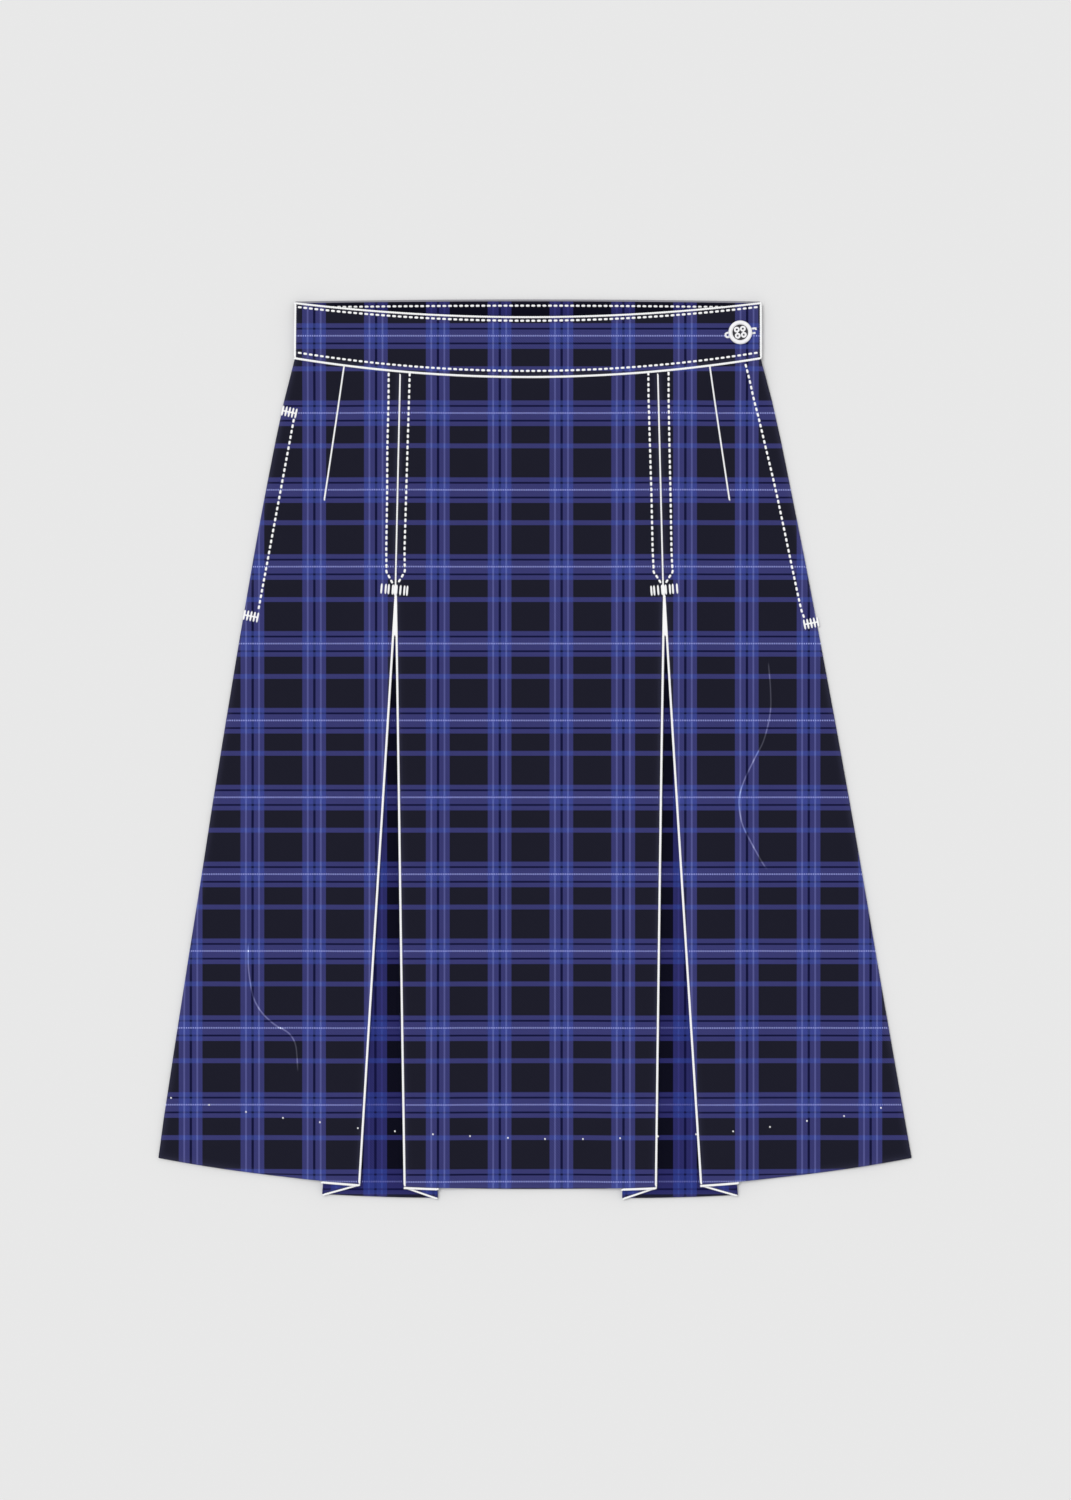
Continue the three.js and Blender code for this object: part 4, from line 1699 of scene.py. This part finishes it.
@dataclass
class Sewing:
    """Gathers stitches that are joined in one piece.

    A stitch is a round body on a straight line. Its width and height swell from its ends to its middle as the
    root of one less the fifth power of the distance from the middle, and its ends sink into the cloth.
    """

    name: str
    parts: list[Part] = field(default_factory=list)

    THINNEST: ClassVar[float] = 0.3
    SUNK: ClassVar[float] = 0.35

    def stitches(
        self, places: Array, directions: Array, kind: Stitch, surface: Surface, facing: int = 1
    ) -> None:
        """Lay stitches on a surface.

        Args:
            places: Middle of each stitch.
            directions: Direction of each stitch.
            kind: Kind of stitch.
            surface: Height of the cloth's face at a place.
            facing: 1 on a face that looks up, and -1 on one that looks down.
        """
        size = kind.value
        turn = math.radians(size.turn)
        turned = np.stack([
            directions[:, 0] * math.cos(turn) - directions[:, 1] * math.sin(turn),
            directions[:, 0] * math.sin(turn) + directions[:, 1] * math.cos(turn),
        ], axis=-1)
        t = np.linspace(0, 1, size.lengthwise)
        body = np.maximum(np.sqrt(1 - np.abs(2 * t - 1) ** 5), self.THINNEST)
        angle = np.arange(size.around) * 2 * math.pi / size.around
        base = places[:, None] + turned[:, None] * ((t - 0.5) * size.length)[None, :, None]
        height = surface(base[..., 0], base[..., 1])
        lift = size.height * (0.5 * body - self.SUNK)
        side = np.stack([-turned[:, 1], turned[:, 0]], axis=-1)
        across = (size.width / 2 * body)[:, None] * np.cos(angle)[None, :] * facing
        flat = base[:, :, None] + side[:, None, None] * across[None, ..., None]
        up = lift[:, None] + (size.height / 2 * body)[:, None] * np.sin(angle)[None, :]
        z = height[:, :, None] + facing * up[None]
        points = np.concatenate([flat, z[..., None]], axis=-1)

        count, rings, around = z.shape
        index = np.arange(rings * around).reshape(rings, around)
        turned_index = np.roll(index, -1, axis=1)
        quads = np.stack([index[:-1], turned_index[:-1], turned_index[1:], index[1:]], axis=-1).reshape(-1, 4)
        starts = (np.arange(count) * rings * around)[:, None]
        walls = (quads[None] + starts[:, :, None]).reshape(-1, 4)
        caps = [index[:1, ::-1] + starts, index[-1:] + starts]
        along = np.broadcast_to((t * size.length)[None, :, None], z.shape)
        turn_share = np.broadcast_to((angle / (2 * math.pi))[None, None, :], z.shape)
        thread = np.stack([along, turn_share], axis=-1).reshape(-1, 2)
        self.parts.append(Part(points.reshape(-1, 3), [walls, *caps], [], {"thread": thread}))

    def row(self, line: Array, kind: Stitch, surface: Surface, facing: int = 1, trim: float = 0.0) -> None:
        """Sew a row of stitches along a line.

        Args:
            line: Points of the line.
            kind: Kind of stitch.
            surface: Height of the cloth's face.
            facing: 1 on a face that looks up, and -1 on one that looks down.
            trim: Length left free at each end.
        """
        places, directions = spaced_along(line, kind.value.pitch, trim)
        self.stitches(places, directions, kind, surface, facing)

    def build(self, finish: bpy.types.Material) -> bpy.types.Object:
        """Join the stitches in one piece.

        Args:
            finish: Finish of the thread.

        Returns:
            The piece.
        """
        return settle(joined(self.parts).build(self.name, [finish]), "thread")


@dataclass(frozen=True)
class SkirtSewing:
    """All sewing that shows: rows along seams and edges, tacks, darts, hem picks and the buttonhole."""

    surface: FrontSurface
    front_band: WaistbandHalf
    back_band: WaistbandHalf
    back: BackPanel
    hem_outset: float = 1.0
    turned_outset: float = 0.7
    seam_lift: float = 0.05
    edge_sink: float = 0.3
    turned_sink: float = 0.2
    waist_sink: float = 0.45
    back_row_sink: float = 0.18
    back_pick_sink: float = 0.12
    band_edge_sink: float = 0.12
    band_end_sink: float = 0.35
    band_edge_inset: float = 0.9
    band_low_outset: float = 0.4
    band_ends: tuple[tuple[float, float], tuple[float, float]] = ((0.5, 0.1), (0.1, 0.2))
    band_end_insets: tuple[float, float] = (1.0, 0.6)
    row_ends: float = 1.6
    seam_from: float = 0.004
    seam_points: int = 20
    fold_points: int = 60
    fold_above_hem: float = 0.8
    hem_points: int = 12
    turned_share: float = 0.96
    tack_points: int = 5
    buttonhole_half: tuple[float, float] = (9.0, 1.6)
    pleat_bars: tuple[float, ...] = (10.2, 7.1, 4.9, 1.9, 0.5, -0.9, -3.8, -6.7, -8.8)
    pleat_bar_rise: float = 0.088
    pleat_bar_lean: float = 0.08
    side_bars: int = 5
    side_bar_pitch: float = 2.5
    side_bar_slopes: tuple[float, float, float] = (-0.22, -0.2, 0.2)
    pick_slant: float = 0.25

    def seam_top(self, x: Array, y: Array) -> Array:
        """Height along a pleat's seam, where the thread bridges the two folded edges."""
        return self.surface.top(x, y) + self.seam_lift

    def edge_top(self, x: Array, y: Array) -> Array:
        """Height along a folded edge, a little below the face because the edge is round."""
        return self.surface.top(x, y) - self.edge_sink

    def waist_top(self, x: Array, y: Array) -> Array:
        """Height along the waist seam, where the thread bridges band and skirt."""
        return np.full(np.shape(x), self.front_band.floor + self.front_band.thick - self.waist_sink)

    def fold_line(self, pleat: Pleat, edge: int) -> Array:
        """Run a line along a folded edge, from where the pleat opens to the hem.

        Args:
            pleat: The pleat.
            edge: 0 for its left and 1 for its right folded edge.

        Returns:
            Points of the line.
        """
        cut = self.surface.cut
        row = np.linspace(cut.opens_row, 1 - self.fold_above_hem / cut.height, self.fold_points)
        start = pleat.start * ((1 - row) / (1 - cut.opens_row)) ** 3
        x = cut.pleat_edges(pleat, row)[edge] + start
        return np.stack([x, cut.front_y(x, row)], axis=-1)

    def turned_hem_line(self, pleat: Pleat, edge: int) -> Array:
        """Run a line along the low edge of a turned edge, from the fold to near its inner corner.

        Args:
            pleat: The pleat.
            edge: 0 for its left and 1 for its right turned edge.

        Returns:
            Points of the line.
        """
        cut = self.surface.cut
        part = np.linspace(0.0, self.turned_share, self.hem_points)
        x = lerp(pleat.fold[edge], pleat.under[edge], part)
        y = cut.front_y(x, np.ones(x.shape)) - pleat.peek[edge] * part - self.turned_outset
        return np.stack([x, y], axis=-1)

    def turned_top(self, x: Array, y: Array) -> Array:
        """Height of a turned edge near the hem, a little below its upper face because the edge is round."""
        middle = self.surface.turned_mid(x, y, np.ones(np.shape(x)))
        return middle + self.surface.cut.cloth / 2 - self.turned_sink

    def hem_line(self, start: float, end: float) -> Array:
        """Run a line along the outside of the front's hem between two places."""
        x = np.linspace(start, end, self.hem_points)
        return np.stack([x, self.surface.cut.front_y(x, np.ones(x.shape)) - self.hem_outset], axis=-1)

    def pleats(self, finishes: Finishes) -> None:
        """Sew seams, folded edges, topstitching and tacks of both pleats, and the hem beside them.

        Args:
            finishes: All finishes.
        """
        cut, lines, top = self.surface.cut, self.surface.lines, self.surface.top
        edges = Sewing("pleat_edge_stitching")
        rows = Sewing("pleat_topstitching")
        tacks = Sewing("pleat_bartacks")
        for pleat, topstitch, tack in zip(
            cut.pleats, (lines.left_topstitch, lines.right_topstitch), lines.pleat_tacks
        ):
            row = np.linspace(self.seam_from, cut.opens_row, self.seam_points)
            x = lerp(pleat.seam[0], pleat.seam[1], row / cut.opens_row)
            edges.row(np.stack([x, cut.front_y(x, row)], axis=-1), Stitch.SEAM, self.seam_top)
            below_tack = (self.fold_line(pleat, 0) + self.fold_line(pleat, 1))[: self.tack_points] / 2
            edges.row(below_tack, Stitch.EDGE, self.edge_top)
            for edge in (0, 1):
                edges.row(self.fold_line(pleat, edge), Stitch.EDGE, self.edge_top)
                edges.row(self.turned_hem_line(pleat, edge), Stitch.FINE_EDGE, self.turned_top)
                edges.row(self.hem_line(pleat.fold[edge], pleat.under[edge]), Stitch.EDGE, self.edge_top)
            for line in topstitch:
                rows.row(np.array(line), Stitch.TOP, top)
            outward = -1 if pleat.side == "left" else 1
            bars = outward * np.array(self.pleat_bars)
            places = np.stack([tack[0] + bars, tack[1] + outward * self.pleat_bar_rise * bars], axis=-1)
            lean = np.full(bars.shape, -outward * self.pleat_bar_lean)
            upright = unit(np.stack([lean, np.ones(bars.shape)], axis=-1))
            tacks.stitches(places, upright, Stitch.TACK, self.seam_top)
        for sewing in (edges, rows, tacks):
            sewing.build(finishes.thread)

    def sides(self, finishes: Finishes) -> None:
        """Sew the darts, and the two side openings with their tacks.

        Args:
            finishes: All finishes.
        """
        lines, top = self.surface.lines, self.surface.top
        darts = Sewing("dart_stitching")
        for dart in lines.darts:
            darts.row(np.array(dart), Stitch.SEAM, top)
        darts.build(finishes.thread)
        openings = Sewing("side_opening_topstitching")
        openings.row(np.array(lines.left_opening), Stitch.TOP, top)
        openings.row(rounded_line(lines.right_opening, parts=4), Stitch.TOP, top)
        openings.build(finishes.thread)
        tacks = Sewing("side_bartacks")
        count = self.side_bars
        for (x, y), slope in zip(lines.side_tacks, self.side_bar_slopes):
            out = unit(np.array([1.0, slope]))
            bars = (np.arange(count) - (count - 1) / 2)[:, None] * self.side_bar_pitch
            places = np.array([x, y]) + bars * out
            upright = np.tile(np.array([-out[1], out[0]]), (count, 1))
            tacks.stitches(places, upright, Stitch.TACK, top)
            links = (places[1:] + places[:-1]) / 2
            tacks.stitches(links, np.tile(out, (count - 1, 1)), Stitch.TACK_LINK, top)
        tacks.build(finishes.thread)

    def hem(self, finishes: Finishes) -> None:
        """Sew the small picks that hold the turned-up hem, on the front and on the face of the back.

        Args:
            finishes: All finishes.
        """
        picks = Sewing("hem_pick_stitches")
        front, back = np.array(self.surface.lines.hem_stitches), self.back.hem_picks()
        slant = np.tile(unit(np.array([self.pick_slant, -1.0])), (len(front), 1))
        picks.stitches(front, slant, Stitch.PICK, self.surface.top)
        slant = np.tile(unit(np.array([-self.pick_slant, -1.0])), (len(back), 1))
        sink = self.back_pick_sink
        picks.stitches(back, slant, Stitch.PICK, lambda x, y: self.back.underside(x, y) + sink, -1)
        picks.build(finishes.thread)

    def waist(self, finishes: Finishes) -> None:
        """Sew both halves of the waistband: topstitching in their channels, and close stitching along edges.

        Args:
            finishes: All finishes.
        """
        front, back = self.front_band, self.back_band
        rows = Sewing("waistband_topstitching")
        edges = Sewing("waistband_edge_stitching")
        free = self.row_ends
        rows.row(front.line_at(from_top=front.channels_up[0], ends=free), Stitch.TOP, front.upper)
        rows.row(front.line_at(from_bottom=front.channels_up[1], ends=free), Stitch.TOP, front.upper)
        rows.row(back.line_at(from_top=back.channels_up[0], ends=free), Stitch.TOP, back.upper)
        for line in (
            back.line_at(from_top=back.channels_down[0], ends=free),
            back.line_at(from_bottom=back.channels_down[1], ends=free),
        ):
            rows.row(line, Stitch.TOP, lambda x, y: back.lower(x, y) + self.back_row_sink, -1)
        top_line = front.line_at(from_top=self.band_edge_inset)
        edges.row(top_line, Stitch.FINE_EDGE, lambda x, y: front.upper(x, y) - self.band_edge_sink)
        edges.row(front.line_at(from_bottom=-self.band_low_outset), Stitch.EDGE, self.waist_top)
        below_top, above_low = self.band_end_insets
        for side, (at_top, at_low) in zip((front.left, front.right), self.band_ends):
            x = np.array([side + at_top, side + at_low])
            y = np.array([front.top_line(x)[0] - below_top, front.bottom_line(x)[1] + above_low])
            ends = np.stack([x, y], axis=-1)
            edges.row(ends, Stitch.EDGE, lambda x, y: front.upper(x, y) - self.band_end_sink)
        rows.build(finishes.thread)
        edges.build(finishes.thread)

    def buttonhole(self, finishes: Finishes, centre: tuple[float, float], turn: float) -> None:
        """Bind the buttonhole with close stitches around a long loop that is open at its right end.

        Args:
            finishes: All finishes.
            centre: Middle of the buttonhole.
            turn: Slope of the buttonhole in degrees.
        """
        half_length, half_height = self.buttonhole_half
        angle = np.radians(np.linspace(90, 270, 12))
        loop = np.concatenate([
            np.array([[12.2, 0.5], [12.4, half_height], [11.2, half_height + 0.2]]),
            np.stack([-half_length + half_height * np.cos(angle), half_height * np.sin(angle)], axis=-1),
            np.array([[11.6, -half_height]]),
        ])
        slope = math.radians(turn)
        spin = np.array([[math.cos(slope), math.sin(slope)], [-math.sin(slope), math.cos(slope)]])
        places, directions = spaced_along(loop @ spin + np.array(centre), Stitch.SATIN.value.pitch)
        across = np.stack([-directions[:, 1], directions[:, 0]], axis=-1)
        sewing = Sewing("buttonhole_stitching")
        sewing.stitches(places, across, Stitch.SATIN, self.front_band.upper)
        sewing.build(finishes.thread)


# Button

@dataclass(frozen=True)
class Button:
    """A dished button with a raised rim and four eyelets, sewn on with two bars of thread."""

    x: float = 151.7
    y: float = 307.7
    floor: float = 5.4
    radius: float = 8.8
    thick: float = 3.0
    rim: float = 3.0
    dish: float = 0.9
    hole_radius: float = 0.85
    hole_out: float = 3.2
    turn: float = 9.0
    sides: int = 96
    eyelet_radius: float = 1.45
    eyelet_width: float = 0.75
    eyelet_height: float = 0.45
    eyelet_lift: float = 0.22
    thread_lift: float = 0.25
    pin_ends: tuple[float, float] = (-1.0, 6.0)
    sharp_from: float = 40.0
    off_centre: float = 0.4

    @property
    def buttonhole_centre(self) -> tuple[float, float]:
        """Middle of the buttonhole, from which the button sits a little up and to the right."""
        return self.x - self.off_centre, self.y - self.off_centre

    def profile(self) -> Array:
        """Half section of the button from the middle of its underside to the middle of its dish.

        Returns:
            Radius and height of each point.
        """
        r, top, dish = self.radius, self.thick, self.thick - self.dish
        return np.array([
            (0, 0), (r - 2.4, 0), (r - 1.6, 0.05), (r - 0.9, 0.35), (r - 0.35, 0.85), (r - 0.06, 1.35),
            (r, 1.7), (r - 0.08, 2.1), (r - 0.3, 2.5), (r - 0.65, 2.8), (r - 1.1, top), (r - 1.7, top),
            (r - 2.15, top - 0.08), (r - 2.5, top - 0.32), (r - 2.75, dish + 0.25),
            (r - self.rim, dish + 0.06), (r - 3.4, dish), (r - 4.6, dish), (0, dish),
        ])

    def turned(self, profile: Array, centre: tuple[float, float, float]) -> Part:
        """Turn a half section about an upright axis, with one point at each pole.

        Args:
            profile: Radius and height of each point, with both ends on the axis.
            centre: Foot of the axis.

        Returns:
            A closed body.
        """
        angle = np.arange(self.sides) * 2 * math.pi / self.sides
        radius, height = profile[1:-1, :1], profile[1:-1, 1:]
        level = np.broadcast_to(height, (len(height), self.sides))
        ring = np.stack([radius * np.cos(angle), radius * np.sin(angle), level], axis=-1)
        poles = np.array([[0, 0, profile[0, 1]], [0, 0, profile[-1, 1]]])
        points = np.concatenate([ring.reshape(-1, 3), poles]) + np.array(centre)
        index = np.arange(ring.shape[0] * self.sides).reshape(-1, self.sides)
        turned = np.roll(index, -1, axis=1)
        walls = np.stack([index[:-1], turned[:-1], turned[1:], index[1:]], axis=-1).reshape(-1, 4)
        low, high = len(points) - 2, len(points) - 1
        base = np.stack([np.full(self.sides, low), turned[0], index[0]], axis=-1)
        crown = np.stack([np.full(self.sides, high), index[-1], turned[-1]], axis=-1)
        return Part(points, [walls, base, crown])

    def eyelets(self) -> Array:
        """Middles of the four holes.

        Returns:
            The middles, one row each.
        """
        angle = np.radians(90 * np.arange(4) + 45 + self.turn)
        out = np.stack([np.cos(angle), np.sin(angle)], axis=-1)
        return np.array([self.x, self.y]) + self.hole_out * out

    def ring(self, x: float, y: float) -> Part:
        """Make one raised eyelet, a circle carried round a circle.

        Args:
            x: Middle of the eyelet.
            y: Middle of the eyelet.

        Returns:
            A closed ring.
        """
        around, tube = 32, 10
        turn = (np.arange(around) * 2 * math.pi / around)[:, None]
        bend = (np.arange(tube) * 2 * math.pi / tube)[None, :]
        radius = self.eyelet_radius + self.eyelet_width * np.cos(bend)
        z = self.floor + self.thick - self.dish + self.eyelet_lift + self.eyelet_height * np.sin(bend)
        level = np.broadcast_to(z, (around, tube))
        points = np.stack([x + radius * np.cos(turn), y + radius * np.sin(turn), level], axis=-1)
        index = np.arange(around * tube).reshape(around, tube)
        east, north = np.roll(index, -1, axis=0), np.roll(index, -1, axis=1)
        both = np.roll(east, -1, axis=1)
        quads = np.stack([index, east, both, north], axis=-1).reshape(-1, 4)
        return Part(points.reshape(-1, 3), [quads])

    def dress(self, finishes: Finishes) -> None:
        """Turn the button, bore its holes, raise its eyelets and sew it on.

        Args:
            finishes: All finishes.
        """
        foot = (self.x, self.y, self.floor)
        whole = self.turned(self.profile(), foot).build("button_blank", [finishes.rim])
        low, high = self.pin_ends
        pin = np.array([(0, low), (self.hole_radius, low), (self.hole_radius, high), (0, high)])
        drills = [self.turned(pin, (x, y, self.floor)) for x, y in self.eyelets()]
        pins = joined(drills).build("button_pins", [])
        bore = whole.modifiers.new("bore", "BOOLEAN")
        bore.operation = "DIFFERENCE"
        bore.solver = "EXACT"
        bore.object = pins
        shaped = whole.evaluated_get(bpy.context.evaluated_depsgraph_get())
        mesh = bpy.data.meshes.new_from_object(shaped)
        mesh.name = "turned_button"
        piece = bpy.data.objects.new("turned_button", mesh)
        bpy.context.scene.collection.objects.link(piece)
        for used in (whole, pins):
            bpy.data.objects.remove(used)
        mesh.materials.clear()
        for finish in (finishes.rim, finishes.dish):
            mesh.materials.append(finish)
        centres = np.empty(3 * len(mesh.polygons))
        mesh.polygons.foreach_get("center", centres)
        spots = centres.reshape(-1, 3) / MM
        radius = np.hypot(spots[:, 0] - self.x, spots[:, 1] - self.y)
        in_dish = (radius < self.radius - self.rim - 0.1) & (spots[:, 2] > self.floor + 0.05)
        mesh.polygons.foreach_set("material_index", in_dish.astype(np.int32))
        mesh.polygons.foreach_set("use_smooth", np.ones(len(mesh.polygons), dtype=bool))
        mesh.set_sharp_from_angle(angle=math.radians(self.sharp_from))
        settle(piece, "button", "button")
        rings = joined([self.ring(x, y) for x, y in self.eyelets()]).build("button_eyelets", [finishes.rim])
        settle(rings, "button")

        right_top, left_top, left_low, right_low = self.eyelets()
        threads = Sewing("button_thread")
        for upper, lower in ((left_top, left_low), (right_top, right_low)):
            places = ((upper + lower) / 2)[None]
            directions = unit((upper - lower)[None])
            level = self.floor + self.thick - self.dish + self.thread_lift
            threads.stitches(places, directions, Stitch.HELD, lambda x, y: np.full(np.shape(x), level))
        threads.build(finishes.thread)


# Studio

@dataclass(frozen=True)
class Studio:
    """Pale floor, even soft light and a camera that looks straight down."""

    floor_half: float = 30.0
    floor_z: float = -0.1
    camera: tuple[float, float, float] = (0.00037, -0.00093, 3.086)
    lens: float = 100.0
    sensor: float = 36.0
    sky: float = 0.67
    sun_share: float = 0.42
    sun_tilt: tuple[float, float] = (14.0, -16.0)
    sun_softness: float = 30.0

    def build(self) -> None:
        """Set up floor, light and camera. Sky and lamp together bring a white sheet to the light level."""
        h, z = self.floor_half / MM, self.floor_z
        points = np.array([[-h, -h, z], [h, -h, z], [h, h, z], [-h, h, z]])
        Part(points, [np.array([[0, 1, 2, 3]])]).build("pale_floor", [PaleFloor().make()])

        world = bpy.data.worlds.new("soft_studio")
        world.use_nodes = True
        background = world.node_tree.nodes["Background"]
        background.inputs["Color"].default_value = (1.0, 1.0, 1.0, 1.0)
        background.inputs["Strength"].default_value = self.sky
        bpy.context.scene.world = world

        lamp = bpy.data.lights.new("soft_lamp", "SUN")
        tilt_x, tilt_y = (math.radians(angle) for angle in self.sun_tilt)
        lamp.energy = self.sun_share * math.pi / (math.cos(tilt_x) * math.cos(tilt_y))
        lamp.angle = math.radians(self.sun_softness)
        holder = bpy.data.objects.new("soft_lamp", lamp)
        holder.rotation_euler = (-tilt_x, tilt_y, 0.0)
        bpy.context.scene.collection.objects.link(holder)

        view = bpy.data.cameras.new("overhead")
        view.lens = self.lens
        view.sensor_width = self.sensor
        view.sensor_fit = "AUTO"
        camera = bpy.data.objects.new("overhead", view)
        camera.location = self.camera
        bpy.context.scene.collection.objects.link(camera)
        bpy.context.scene.camera = camera
        bpy.context.scene.view_settings.view_transform = "Standard"


def main() -> None:
    """Build every part of the skirt in order."""
    logging.basicConfig(level=logging.INFO, format="%(name)s: %(message)s")
    Studio().build()
    finishes = Finishes.make()
    surface = FrontSurface(SkirtCut(), SewnLines())
    FrontPanels(surface).dress(finishes)
    Underlays(surface).dress(finishes)
    back = BackPanel(surface)
    back.dress(finishes)
    front_band = WaistbandHalf(
        "front_waistband", top_y=330.4, top_drop=10.4, bottom_drop=13.9, floor=2.7, channels_up=(3.5, 4.1)
    )
    back_band = WaistbandHalf(
        "back_waistband", top_y=331.1, top_drop=-1.5, bottom_drop=-1.2, floor=0.0,
        channels_up=(4.7, 4.1), channels_down=(3.5, 4.1),
    )
    front_band.dress([finishes.plain], False)
    # Its faces that look up take the darker plaid of painted shade, and its top edge the painted highlight.
    back_band.dress([finishes.plain, finishes.inside, finishes.edge], True)
    sewing = SkirtSewing(surface, front_band, back_band, back)
    sewing.pleats(finishes)
    sewing.sides(finishes)
    sewing.hem(finishes)
    sewing.waist(finishes)
    button = Button()
    button.dress(finishes)
    sewing.buttonhole(finishes, button.buttonhole_centre, button.turn)


if __name__ == "__main__":
    main()
